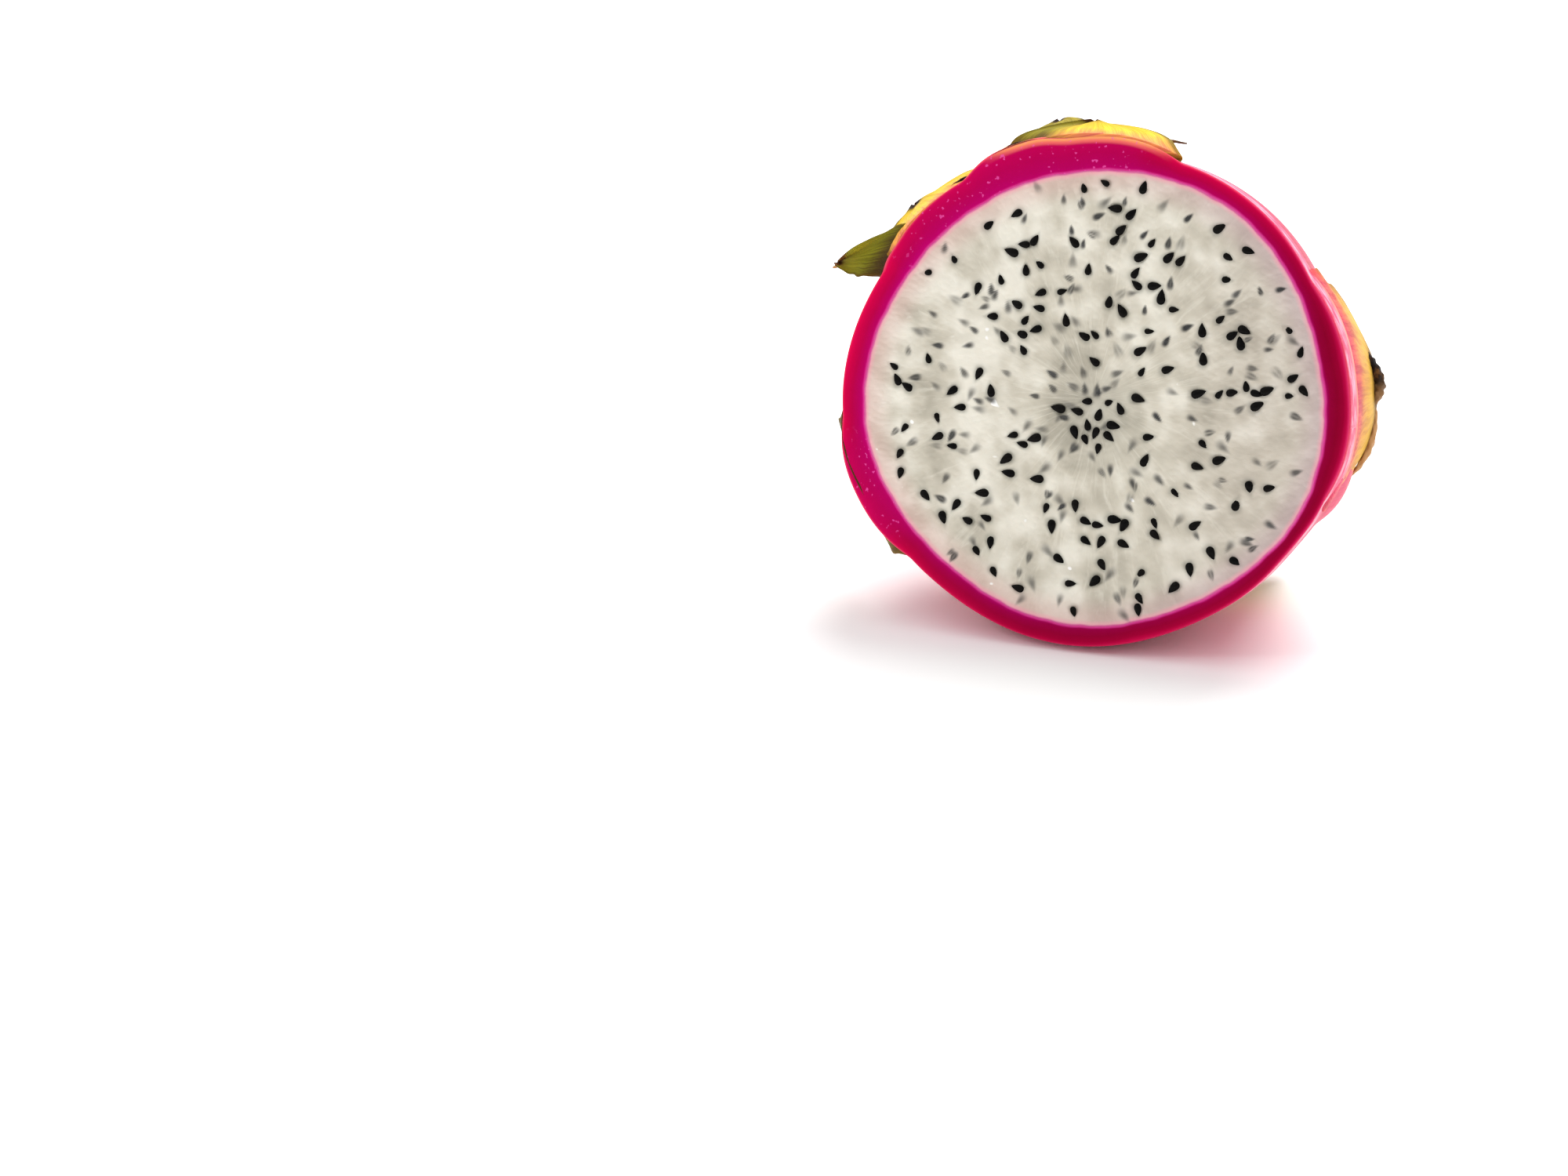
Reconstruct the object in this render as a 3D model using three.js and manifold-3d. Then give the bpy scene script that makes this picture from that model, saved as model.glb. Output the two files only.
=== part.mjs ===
// Half of a dragon fruit, cut crosswise, resting on its belly with the cut face tilted a little back.
//
// The fruit is described in its own frame: u to the right and v upwards in the plane of the cut, and
// w into the fruit along its axis, from the cut to the flower end. A place on the skin is given by its
// azimuth round the axis and by its arc, the length along the skin from the cut. The half is then tilted
// and set on the floor, z = 0, with the middle of its footprint at the origin.
import * as THREE from "three";
import { mergeVertices } from "three/addons/utils/BufferGeometryUtils.js";
import Module from "manifold-3d";

// ---- Driving dimensions: millimetres and degrees ----
const DEPTH = 56; // from the cut to the flower end, along the axis
const FULLNESS = 0.92; // exponent of the lengthwise outline: 1 is an ellipse, less is fuller
const FLESH_RADIUS = 39.5; // mean radius of the flesh in the cut
const RIND = 2.6; // thickness of the rind in the cut, between scales
const RIND_POLE = 4.6; // thickness of the rind at the flower end
const GAP = 0.3; // clearance between the flesh and the rind
const TILT = 13; // how far the cut face leans back
const FACE_CENTRE = { x: 3.09, y: -27.96, z: 42.9 }; // where the middle of the cut stands

// The flesh is not quite round in the cut: each lobe is a wave of so many crests, with one at peak.
const LOBES = [
  { crests: 2, height: 0.9, peak: 12 },
  { crests: 3, height: 0.43, peak: -48 },
  { crests: 4, height: 0.26, peak: -8 },
  { crests: 5, height: 0.34, peak: -21 },
];
const THICK_SIDE = { extra: 1.7, azimuth: 190 }; // the rind is thicker on one side
const THIN_PLACE = { loss: 0.6, azimuth: 328, spread: 10 }; // and thin at one place

// The scar at the flower end: a flat-bottomed dish with a raised lip, and a stub in it.
const SCAR = {
  radius: 8,
  bottom: 4, // radius of the dish's flat bottom
  depth: 3.2,
  lip: 1.4,
  lipRadius: 9.6,
  lipWidth: 2.2,
  stub: 2.6,
  stubRadius: 2.6,
};

// Scales near the cut. root is the arc where the swelling begins, attached the share of the length
// that is grown to the fruit, height the swelling over the skin. The free part leaves the skin at the
// lean and bends outwards by the curl. sweep is how far its tip leans to the side, blunt how full it
// stays towards the tip, and flare how far its margins stand off, from 0 to 1.
const FIELDS = [
  "azimuth", "root", "length", "width", "attached", "height", "lean", "curl", "sweep", "blunt", "flare",
];
const CUT_SCALES = [
  [94, -22, 31, 33, 0.69, 2.4, 15.5, 0, 3, 2.6, 0.9],
  [116, -10, 25, 24, 0.5, 3.5, 11, 0, -7, 2.6, 0.7],
  [133, -12, 28, 25, 0.46, 1.6, 17, 0, 9, 2.4, 0.8],
  [146, -6, 18.5, 12, 0.45, 1.0, 45, 20, 13, 3.2, 1],
  [8, -9, 33, 42, 0.42, 2.0, 1, 4, -1, 3.3, 0],
  [208, -12, 33, 29, 0.46, 1.7, 14, 10, -5, 2.0, 1],
  [345, 2, 25, 21, 0.7, 1.9, 0, -8, 3, 1.4, 0],
  [277, 6, 36, 28, 0.58, 0.9, 0, 26, 0, 1.4, 1],
  [183, 9, 31, 30, 0.44, 2.4, 0, 10, 1, 1.4, 1],
  [244, 16, 35, 28, 0.42, 2.0, 0, 34, -1, 1.4, 1],
  [309, 17, 35, 27, 0.42, 2.0, 0, 41, 1, 1.4, 1],
].map((row) => Object.fromEntries(FIELDS.map((field, i) => [field, row[i]])));
// Scales nearer the flower end: each a golden angle further round and a step further back.
const CROWN = {
  count: 11,
  azimuth: 50,
  turn: 137.5,
  root: 24,
  step: 3.1,
  length: 32,
  longer: 0.5,
  width: 29,
  narrower: 1.15,
  attached: 0.42,
  height: 2.3,
  curl: 16,
  curlSpread: 12,
  sweepSpread: 5,
  blunt: 1.4,
};
const ROOT_SHARE = 0.6; // a scale's width where it begins, as a share of the most
const TIP_SHARE = 0.05; // and at its tip
const SHOULDER = 1.1; // exponent of its outline between them, with the blunt one
const MOUND = { flat: 3, steep: 1.4 }; // exponents of the swelling across a scale
const FREED = { from: -0.02, to: 0.2 }; // where a scale comes free, past its attached share
const FADED = { from: 0.03, to: 0.22 }; // where the swelling under it dies away
const EARLY = 0.14; // how far before that share its own solid begins
const EDGE_THICKNESS = 0.9; // of a scale at its margins and tip
const MID_THICKNESS = 2.4; // of a scale along its middle, where it leaves the fruit
const ROOT_THICKNESS = 2.6; // added to it in the grown part, which reaches into the rind
const TIGHTEST_BEND = 9; // least radius that a scale is bent to across its width
const OVERLAP = 0.15; // how far a scale's grown part lies under the skin
const SINK = 0.4; // how far scales that lie on the floor are pressed into it, and cut flat
const PRESS_SOFTNESS = 0.8; // how gently they bend where the floor presses them up

// Seeds: teardrops set into the cut face of the flesh. A few crowd the core.
const SEEDS = {
  count: 150,
  length: 2.15,
  width: 1.2,
  smallest: 0.8, // size of the smallest, and the largest is as much over 1
  height: 0.45,
  root: 0.3,
  foot: 1.45, // outline under the face, against the seed's own in the face
  margin: 2, // from a seed's middle to the rind
  spacing: 1.9,
  turnSpread: 130,
};
const CORE = { count: 12, u: 1.1, v: -3.9, radius: 4.6 };

// Fineness of the faceted surfaces
const COLUMNS = 64;
const SKIN_ROWS = 18;
const INNER_ROWS = 6;
const SCALE_STEPS = 6;
const SCALE_ACROSS = [-1, -0.45, 0.45, 1]; // points over a scale, as shares of half its width
const ARC_STEPS = 400;
const NUDGE = 0.004; // step in latitude for finding the direction of the skin
const STRIDE = 0.01; // step along a scale for finding its direction
const AHEAD = 6; // how far the rind reaches past the cut before it is made
const PAST_CUT = 0.6; // how far the hollow that is taken out of it does
const MERGE = 1e-4; // points closer than this are one
const CROWN_DRAW = 7; // where the random numbers for the scales start
const SEED_DRAW = 20; // and those for the seeds

// ---- Small helpers ----
const rad = THREE.MathUtils.degToRad;
const smooth = THREE.MathUtils.smoothstep;
const { sin, cos, abs, min, max, PI, hypot, atan2 } = Math;

// The shortest turn from one azimuth to another, in radians.
function turnBetween(from, to) {
  const turn = (to - from) % (2 * PI);
  return turn > PI ? turn - 2 * PI : turn < -PI ? turn + 2 * PI : turn;
}

// Even random numbers from 0 to 1, the same in every run.
function randomSource(seed) {
  let state = seed;
  return () => {
    state = (Math.imul(state, 1664525) + 1013904223) >>> 0;
    return state / 4294967296;
  };
}

// ---- The fruit's outline ----
function fleshOutline(azimuth) {
  const lobes = LOBES.map((lobe) => lobe.height * cos(lobe.crests * (azimuth - rad(lobe.peak))));
  return FLESH_RADIUS + lobes.reduce((sum, value) => sum + value, 0);
}

function skinOutline(azimuth) {
  const side = (THICK_SIDE.extra * (1 + cos(azimuth - rad(THICK_SIDE.azimuth)))) / 2;
  const away = turnBetween(rad(THIN_PLACE.azimuth), azimuth) / rad(THIN_PLACE.spread);
  return fleshOutline(azimuth) + RIND + side - THIN_PLACE.loss * Math.exp(-away * away);
}

const MEAN_RADIUS = FLESH_RADIUS + RIND + THICK_SIDE.extra / 2;

// The lengthwise outline by latitude, 0 at the cut and a quarter turn at the flower end: depth behind
// the cut, and radius as a share of the radius in the cut.
function lengthwise(latitude) {
  return { w: DEPTH * sin(latitude), share: max(cos(latitude), 0) ** FULLNESS };
}

// The latitude at each step of arc length along the skin.
const ARC_TABLE = (() => {
  const table = [{ arc: 0, latitude: 0 }];
  let before = lengthwise(0);
  for (let i = 1; i <= ARC_STEPS; i++) {
    const latitude = ((i / ARC_STEPS) * PI) / 2;
    const here = lengthwise(latitude);
    const piece = hypot(here.w - before.w, MEAN_RADIUS * (here.share - before.share));
    table.push({ arc: table[i - 1].arc + piece, latitude });
    before = here;
  }
  return table;
})();
const ARC_LENGTH = ARC_TABLE[ARC_TABLE.length - 1].arc;

function latitudeAt(arc) {
  if (arc <= 0) return 0;
  if (arc >= ARC_LENGTH) return PI / 2;
  const i = ARC_TABLE.findIndex((row) => row.arc > arc);
  const [low, high] = [ARC_TABLE[i - 1], ARC_TABLE[i]];
  return low.latitude + ((high.latitude - low.latitude) * (arc - low.arc)) / (high.arc - low.arc);
}

// The plain skin at an arc: depth, share of the cut's radius, and the outward normal in the plane
// through the axis. Before the cut, where the other half was, the skin runs straight on.
function meridian(arc) {
  if (arc <= 0) return { w: arc, share: 1, normalR: 1, normalW: 0 };
  const latitude = latitudeAt(arc);
  const here = lengthwise(latitude);
  const next = lengthwise(min(latitude + NUDGE, PI / 2));
  const last = lengthwise(max(latitude - NUDGE, 0));
  const dw = next.w - last.w;
  const dr = MEAN_RADIUS * (next.share - last.share);
  const size = hypot(dw, dr);
  return { ...here, normalR: dw / size, normalW: -dr / size };
}

// ---- Scales ----
function crownScales() {
  const draw = randomSource(CROWN_DRAW);
  const spread = (size) => size * (2 * draw() - 1);
  return Array.from({ length: CROWN.count }, (_, i) => ({
    azimuth: CROWN.azimuth + i * CROWN.turn,
    root: CROWN.root + i * CROWN.step,
    length: CROWN.length + i * CROWN.longer,
    width: CROWN.width - i * CROWN.narrower,
    attached: CROWN.attached,
    height: CROWN.height,
    lean: 0,
    curl: CROWN.curl + spread(CROWN.curlSpread),
    sweep: spread(CROWN.sweepSpread),
    blunt: CROWN.blunt,
    flare: 1,
  }));
}
const SCALES = [...CUT_SCALES, ...crownScales()];

// How wide a scale is at a share s of its length: broadening over the grown part, then a leaf's point.
function widthShare(scale, s) {
  if (s <= scale.attached) return ROOT_SHARE + (1 - ROOT_SHARE) * smooth(s, 0, scale.attached);
  const out = (s - scale.attached) / (1 - scale.attached);
  return TIP_SHARE + (1 - TIP_SHARE) * (1 - out ** scale.blunt) ** SHOULDER;
}

// The swelling across a scale, from 1 along its middle to 0 at its sides.
function acrossShare(t) {
  return max(0, 1 - abs(t) ** MOUND.flat) ** MOUND.steep;
}

// How far the skin swells over the plain outline where scales grow from it.
function swelling(azimuth, arc, radius) {
  let total = 0;
  for (const scale of SCALES) {
    const s = (arc - scale.root) / scale.length;
    if (s <= 0 || s >= scale.attached + FADED.to) continue;
    const side = radius * turnBetween(rad(scale.azimuth), azimuth) - scale.sweep * s * s;
    const t = side / ((scale.width / 2) * widthShare(scale, min(s, scale.attached)));
    if (abs(t) >= 1) continue;
    const rise = smooth(s, 0, scale.attached);
    const fall = 1 - smooth(s, scale.attached + FADED.from, scale.attached + FADED.to);
    total += (scale.height * rise * fall * acrossShare(t)) ** 3;
  }
  return Math.cbrt(total);
}

// The scar at the flower end: a dish with a raised lip, and the withered stub of the flower in it.
function scarLift(radius) {
  const dish = -SCAR.depth * (1 - smooth(radius, SCAR.bottom, SCAR.radius));
  const lip = SCAR.lip * Math.exp(-(((radius - SCAR.lipRadius) / SCAR.lipWidth) ** 2));
  const stub = SCAR.stub * Math.exp(-((radius / SCAR.stubRadius) ** 2));
  return dish + lip + stub;
}

function skinPoint(azimuth, arc) {
  const here = meridian(arc);
  const radius = skinOutline(azimuth) * here.share;
  const lift = swelling(azimuth, arc, max(radius, SCAR.bottom)) + (arc > 0 ? scarLift(radius) : 0);
  const r = radius + lift * here.normalR;
  return new THREE.Vector3(r * cos(azimuth), r * sin(azimuth), here.w + lift * here.normalW);
}

// The inner wall of the rind, or the outside of the flesh with the gap as clearance.
function innerPoint(azimuth, latitude, clearance) {
  const { share } = lengthwise(latitude);
  const radius = (fleshOutline(azimuth) - clearance) * share;
  const w = (DEPTH - RIND_POLE - clearance) * sin(latitude);
  return new THREE.Vector3(radius * cos(azimuth), radius * sin(azimuth), w);
}

// The line along the middle of a scale's upper side, in the plane through the axis: it follows the
// swelling, leaves it where the scale comes free, and bends outwards from there.
function scaleMidline(scale, steps) {
  const azimuth = rad(scale.azimuth);
  const crest = (s) => {
    const here = meridian(scale.root + s * scale.length);
    const lift = scale.height * smooth(s, 0, scale.attached);
    const r = skinOutline(azimuth) * here.share + lift * here.normalR;
    return { r, w: here.w + lift * here.normalW };
  };
  const headingAt = (s) => {
    const [before, after] = [crest(s - STRIDE), crest(s + STRIDE)];
    return atan2(after.r - before.r, after.w - before.w);
  };
  const grown = steps.filter((s) => s <= scale.attached);
  const line = grown.map((s) => ({ s, ...crest(s), heading: headingAt(s) }));
  const leaving = headingAt(scale.attached - STRIDE);
  const freeHeading = (s) =>
    leaving + rad(scale.lean) + (rad(scale.curl) * (s - scale.attached)) / (1 - scale.attached);
  let { r, w } = crest(scale.attached);
  let last = scale.attached;
  for (const s of steps.filter((each) => each > scale.attached)) {
    const between = freeHeading((s + last) / 2);
    r += (s - last) * scale.length * sin(between);
    w += (s - last) * scale.length * cos(between);
    line.push({ s, r, w, heading: freeHeading(s) });
    last = s;
  }
  return line;
}

// ---- Placing the half on the floor ----
const TO_WORLD = new THREE.Matrix4()
  .makeTranslation(FACE_CENTRE.x, FACE_CENTRE.y, FACE_CENTRE.z)
  .multiply(new THREE.Matrix4().makeRotationX(rad(-TILT)))
  .multiply(new THREE.Matrix4().makeBasis(
    new THREE.Vector3(1, 0, 0),
    new THREE.Vector3(0, 0, 1),
    new THREE.Vector3(0, 1, 0),
  ));

const toWorld = (point) => point.clone().applyMatrix4(TO_WORLD);

// A height that is kept above a level, bending smoothly where it meets it.
function pressedUp(z, level) {
  return level + (z - level + hypot(z - level, PRESS_SOFTNESS)) / 2;
}

// ---- Closed surfaces ----
function evenly(count, from, to) {
  return Array.from({ length: count + 1 }, (_, i) => from + ((to - from) * i) / count);
}

function middleOf(ring) {
  return ring.reduce((sum, point) => sum.add(point), new THREE.Vector3()).divideScalar(ring.length);
}

// Rings of points, each with as many points, joined in turn and closed at both ends by a fan.
function closedRings(rings, firstTip, lastTip) {
  const count = rings[0].length;
  const points = [firstTip, ...rings.flat(), lastTip];
  const at = (ring, i) => 1 + ring * count + (i % count);
  const faces = [];
  for (let i = 0; i < count; i++) {
    faces.push(0, at(0, i + 1), at(0, i));
    faces.push(at(rings.length - 1, i), at(rings.length - 1, i + 1), points.length - 1);
    for (let ring = 0; ring + 1 < rings.length; ring++) {
      faces.push(at(ring, i), at(ring, i + 1), at(ring + 1, i + 1));
      faces.push(at(ring, i), at(ring + 1, i + 1), at(ring + 1, i));
    }
  }
  const geometry = new THREE.BufferGeometry().setFromPoints(points);
  geometry.setIndex(faces);
  return geometry;
}

const wasm = await Module();
wasm.setup();

function solidOf(positions, triangles) {
  const mesh = new wasm.Mesh({ numProp: 3, vertProperties: positions, triVerts: triangles });
  return new wasm.Manifold(mesh);
}

// The solid inside a closed surface, whichever way its faces are turned.
function solidFrom(geometry) {
  const plain = geometry.clone();
  plain.deleteAttribute("normal");
  plain.deleteAttribute("uv");
  const merged = mergeVertices(plain, MERGE);
  const positions = merged.attributes.position.array;
  const triangles = new Uint32Array(merged.index.array);
  const solid = solidOf(positions, triangles);
  return solid.volume() > 0 ? solid : solidOf(positions, triangles.reverse());
}

function geometryFrom(solid) {
  const mesh = solid.getMesh();
  const geometry = new THREE.BufferGeometry();
  geometry.setAttribute("position", new THREE.BufferAttribute(mesh.vertProperties, mesh.numProp));
  geometry.setIndex(new THREE.BufferAttribute(mesh.triVerts, 1));
  geometry.computeVertexNormals();
  return geometry;
}

// The largest body of a solid, without loose scraps and sealed hollows.
function mainBody(solid) {
  const bodies = solid.decompose();
  return bodies.reduce((best, body) => (body.volume() > best.volume() ? body : best));
}

const AZIMUTHS = evenly(COLUMNS, 0, 2 * PI).slice(0, COLUMNS);

// ---- The rind ----
// All that lies inside the skin, and a little of the other half in front of the cut.
function wholeInsideSkin() {
  const arcs = evenly(SKIN_ROWS, -AHEAD, ARC_LENGTH).slice(0, SKIN_ROWS);
  const rings = arcs.map((arc) => AZIMUTHS.map((azimuth) => toWorld(skinPoint(azimuth, arc))));
  const front = toWorld(new THREE.Vector3(0, 0, -AHEAD));
  return closedRings(rings, front, toWorld(skinPoint(0, ARC_LENGTH)));
}

// How thick a scale is at a share s of its length and t of half its width, where it is free or not.
function scaleThickness(scale, s, t, free) {
  const tapered = min((1 - s) / (1 - scale.attached), 1);
  const middle = EDGE_THICKNESS + (MID_THICKNESS - EDGE_THICKNESS) * tapered;
  return middle + (EDGE_THICKNESS - middle) * t * t + ROOT_THICKNESS * (1 - free);
}

// One scale as a closed loft: each ring goes over its upper side and back along its lower side.
function scaleSolid(scale) {
  const azimuth = rad(scale.azimuth);
  const out = new THREE.Vector3(cos(azimuth), sin(azimuth), 0);
  const along = new THREE.Vector3(0, 0, 1);
  const aside = new THREE.Vector3(-sin(azimuth), cos(azimuth), 0);
  const steps = evenly(SCALE_STEPS, scale.attached - EARLY, 1);
  const rings = scaleMidline(scale, steps).map(({ s, r, w, heading }) => {
    const free = smooth(s, scale.attached + FREED.from, scale.attached + FREED.to);
    const loose = free * scale.flare;
    const half = (scale.width / 2) * widthShare(scale, s);
    const normal = out.clone().multiplyScalar(cos(heading)).addScaledVector(along, -sin(heading));
    const bend = max(r, TIGHTEST_BEND);
    const top = SCALE_ACROSS.map((t) => {
      const turn = (t * half) / bend;
      const drape = bend * (1 - cos(turn)) * (1 - loose / 2);
      const drop = (scale.height * (1 - acrossShare(t)) + OVERLAP) * (1 - loose);
      return out.clone().multiplyScalar(r - drape).addScaledVector(along, w)
        .addScaledVector(aside, bend * sin(turn) + scale.sweep * s * s)
        .addScaledVector(normal, -drop);
    });
    const bottom = top.map((point, i) =>
      point.clone().addScaledVector(normal, -scaleThickness(scale, s, SCALE_ACROSS[i], free)));
    const upper = top.map(toWorld);
    const lower = bottom.map(toWorld).reverse();
    lower.forEach((point) => point.setZ(pressedUp(point.z, -SINK)));
    upper.forEach((point) => point.setZ(pressedUp(point.z, EDGE_THICKNESS)));
    return [...upper, ...lower];
  });
  return closedRings(rings, middleOf(rings[0]), middleOf(rings[rings.length - 1]));
}

// A block that fills the space in front of the cut, and one that fills the space under the floor.
function blockInFront() {
  const size = 200;
  const block = new THREE.BoxGeometry(size, size, size);
  block.translate(0, 0, -size / 2);
  return block.applyMatrix4(TO_WORLD);
}

function blockUnderFloor() {
  const size = 300;
  return new THREE.BoxGeometry(size, size, size).translate(0, 0, -size / 2);
}

// The space inside the rind, less a clearance. Its front is in the cut, or so far ahead of it.
function innerSpace(clearance, ahead) {
  const rows = evenly(INNER_ROWS, PI / 2, 0).slice(1);
  const front = new THREE.Vector3(0, 0, -ahead);
  const rings = rows.map((latitude) =>
    AZIMUTHS.map((azimuth) => innerPoint(azimuth, latitude, clearance)));
  rings[rings.length - 1].forEach((point) => point.add(front));
  const tip = toWorld(innerPoint(0, PI / 2, clearance));
  return closedRings(rings.map((ring) => ring.map(toWorld)), tip, toWorld(front));
}

function peelGeometry() {
  let solid = solidFrom(wholeInsideSkin());
  for (const scale of SCALES) solid = solid.add(solidFrom(scaleSolid(scale)));
  solid = solid.subtract(solidFrom(innerSpace(0, PAST_CUT)));
  solid = solid.subtract(solidFrom(blockInFront()));
  solid = solid.subtract(solidFrom(blockUnderFloor()));
  return geometryFrom(mainBody(solid));
}

// ---- The flesh and its seeds ----
// Places, turns and sizes for the seeds: random, but no two closer than the spacing.
function seedPlaces() {
  const draw = randomSource(SEED_DRAW);
  const places = [];
  while (places.length < SEEDS.count) {
    const inCore = places.length < CORE.count;
    const middle = inCore ? CORE : { u: 0, v: 0 };
    const azimuth = 2 * PI * draw();
    const reach = inCore ? CORE.radius : fleshOutline(azimuth) - SEEDS.margin;
    const radius = reach * Math.sqrt(draw());
    const u = middle.u + radius * cos(azimuth);
    const v = middle.v + radius * sin(azimuth);
    const turn = azimuth + rad(SEEDS.turnSpread) * (draw() + draw() - 1);
    const size = SEEDS.smallest + 2 * (1 - SEEDS.smallest) * draw();
    const clear = places.every((each) => hypot(each.u - u, each.v - v) > SEEDS.spacing);
    if (clear) places.push({ u, v, turn, size });
  }
  return places;
}

// A seed's outline as shares of half its length and width, point first.
const TEARDROP = [
  [1.05, 0],
  [0.25, 0.9],
  [-0.6, 0.95],
  [-0.95, 0],
  [-0.6, -0.95],
  [0.25, -0.9],
];
const RIDGE = [0.3, -0.4]; // both ends of its ridge, on the same measure
const SEED_FACES = [
  [0, 1, 6], [1, 2, 7], [1, 7, 6], [2, 3, 7],
  [3, 4, 7], [4, 5, 6], [4, 6, 7], [5, 0, 6],
  [0, 5, 1], [1, 5, 4], [1, 4, 2], [2, 4, 3],
];

// A seed is a roof over its outline: the outline lies under the face and the ridge stands over it.
function seedSolid({ u, v, turn, size }) {
  const length = (size * SEEDS.length) / 2;
  const width = (size * SEEDS.width) / 2;
  const [c, s] = [cos(turn), sin(turn)];
  const place = (x, y, w) => toWorld(new THREE.Vector3(u + x * c - y * s, v + x * s + y * c, w));
  const outline = TEARDROP.map(([x, y]) =>
    place(SEEDS.foot * x * length, SEEDS.foot * y * width, SEEDS.root));
  const ridge = RIDGE.map((x) => place(x * length, 0, -SEEDS.height));
  const geometry = new THREE.BufferGeometry().setFromPoints([...outline, ...ridge]);
  geometry.setIndex(SEED_FACES.flat());
  return geometry;
}

function fleshGeometry() {
  const seeds = seedPlaces().map((place) => solidFrom(seedSolid(place)));
  const solid = wasm.Manifold.union([solidFrom(innerSpace(GAP, 0)), ...seeds]);
  return geometryFrom(mainBody(solid.subtract(solidFrom(blockUnderFloor()))));
}

// ---- The finished part ----
const peelMaterial = new THREE.MeshStandardMaterial({ color: 0xd8195f, roughness: 0.42, metalness: 0 });
const fleshMaterial = new THREE.MeshStandardMaterial({ color: 0xe4e0d4, roughness: 0.3, metalness: 0 });

function part(name, geometry, material) {
  const mesh = new THREE.Mesh(geometry, material);
  mesh.name = name;
  return mesh;
}

const dragonFruit = new THREE.Group();
dragonFruit.add(part("peel", peelGeometry(), peelMaterial));
dragonFruit.add(part("flesh", fleshGeometry(), fleshMaterial));

export default dragonFruit;
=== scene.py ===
"""Half of a dragon fruit, cut crosswise, resting on its belly with the cut face leaning back.

The fruit is shaped in its own frame, in millimetres: u to the right and v upwards in the plane of the
cut, and w into the fruit along its axis, from the cut to the flower end. A place on the skin is given
by its azimuth round the axis and by its arc, the length along the skin from the cut. A place on a
scale is given by s, from 0 at its root to 1 at its tip, and by t, from -1 to 1 across it.
"""
from collections import namedtuple
from math import asin, atan2, cos, hypot, pi, radians as rad, sin, sqrt
from types import SimpleNamespace

import bpy
import numpy as np
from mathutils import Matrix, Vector


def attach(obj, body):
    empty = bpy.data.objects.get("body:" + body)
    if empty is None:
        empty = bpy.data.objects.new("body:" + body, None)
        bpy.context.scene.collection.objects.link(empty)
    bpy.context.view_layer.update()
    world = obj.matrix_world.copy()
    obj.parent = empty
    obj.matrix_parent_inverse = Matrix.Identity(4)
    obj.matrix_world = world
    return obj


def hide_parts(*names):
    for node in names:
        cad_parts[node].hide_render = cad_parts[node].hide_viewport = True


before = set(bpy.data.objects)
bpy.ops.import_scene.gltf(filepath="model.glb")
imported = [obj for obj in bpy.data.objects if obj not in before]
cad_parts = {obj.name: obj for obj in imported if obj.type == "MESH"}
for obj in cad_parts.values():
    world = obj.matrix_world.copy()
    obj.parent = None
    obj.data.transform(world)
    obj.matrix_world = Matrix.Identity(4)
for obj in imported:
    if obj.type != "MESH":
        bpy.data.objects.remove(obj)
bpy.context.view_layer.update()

MM = 0.001

# ---- Dimensions, the same as in the solids: millimetres and degrees ----
DEPTH = 56.0  # from the cut to the flower end, along the axis
FULLNESS = 0.92  # of the lengthwise outline: 1 is an ellipse, less is fuller
FLESH_RADIUS = 39.5  # mean radius of the flesh in the cut
RIND = 2.6  # thickness in the cut, between scales
RIND_POLE = 4.6  # and at the flower end
TILT = 13.0  # how far the cut face leans back
FACE_CENTRE = (3.09, -27.96, 42.9)  # where the middle of the cut stands
LOBES = ((2, 0.9, 12), (3, 0.43, -48), (4, 0.26, -8), (5, 0.34, -21))  # crests, height, peak
THICK_SIDE = (1.7, 190)  # extra thickness, azimuth
THIN_PLACE = (0.6, 328, 10)  # loss of thickness, azimuth, spread
SCAR = SimpleNamespace(radius=8.0, bottom=4.0, depth=3.2, lip=1.4, lip_radius=9.6, lip_width=2.2,
                       stub=2.6, stub_radius=2.6)
MEAN_RADIUS = FLESH_RADIUS + RIND + THICK_SIDE[0] / 2

# A scale is grown to the skin up to its attached share. Its free part turns outwards by lean at once
# and by curl on the way, sweep carries it sideways, blunt rounds it and flare frees its margins.
# The rest are looks: its olive share, its dry tip, the reach of its pink root, and one olive side.
Scale = namedtuple("Scale", "azimuth root length width attached height lean curl sweep blunt flare"
                            " olive dry blush green_side")
CUT_SCALES = (
    (94, -22, 31, 33, 0.69, 2.4, 15.5, 0, 3, 2.6, 0.9, 0.0, 0.03, 0.2, 0.9),
    (116, -10, 25, 24, 0.5, 3.5, 11, 0, -7, 2.6, 0.7, 0.8, 0.05, 0.0, 0.0),
    (133, -12, 28, 25, 0.46, 1.6, 17, 0, 9, 2.4, 0.8, 0.0, 0.06, 0.0, 0.0),
    (146, -6, 18.5, 12, 0.45, 1.0, 45, 20, 13, 3.2, 1, 1.0, 0.04, 0.0, 0.0),
    (8, -9, 33, 42, 0.42, 2.0, 1, 4, -1, 3.3, 0, 0.26, 0.12, 0.45, 0.0),
    (208, -12, 33, 29, 0.46, 1.7, 14, 10, -5, 2.0, 1, 0.9, 0.1, 0.0, 0.0),
    (345, 2, 25, 21, 0.7, 1.9, 0, -8, 3, 1.4, 0, 0.2, 0.02, 0.3, 0.0),
    (277, 6, 36, 28, 0.58, 0.9, 0, 26, 0, 1.4, 1, 0.4, 0.08, 0.1, 0.0),
    (183, 9, 31, 30, 0.44, 2.4, 0, 10, 1, 1.4, 1, 0.5, 0.08, 0.1, 0.0),
    (244, 16, 35, 28, 0.42, 2.0, 0, 34, -1, 1.4, 1, 0.3, 0.08, 0.1, 0.0),
    (309, 17, 35, 27, 0.42, 2.0, 0, 41, 1, 1.4, 1, 0.6, 0.08, 0.1, 0.0),
)
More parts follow.
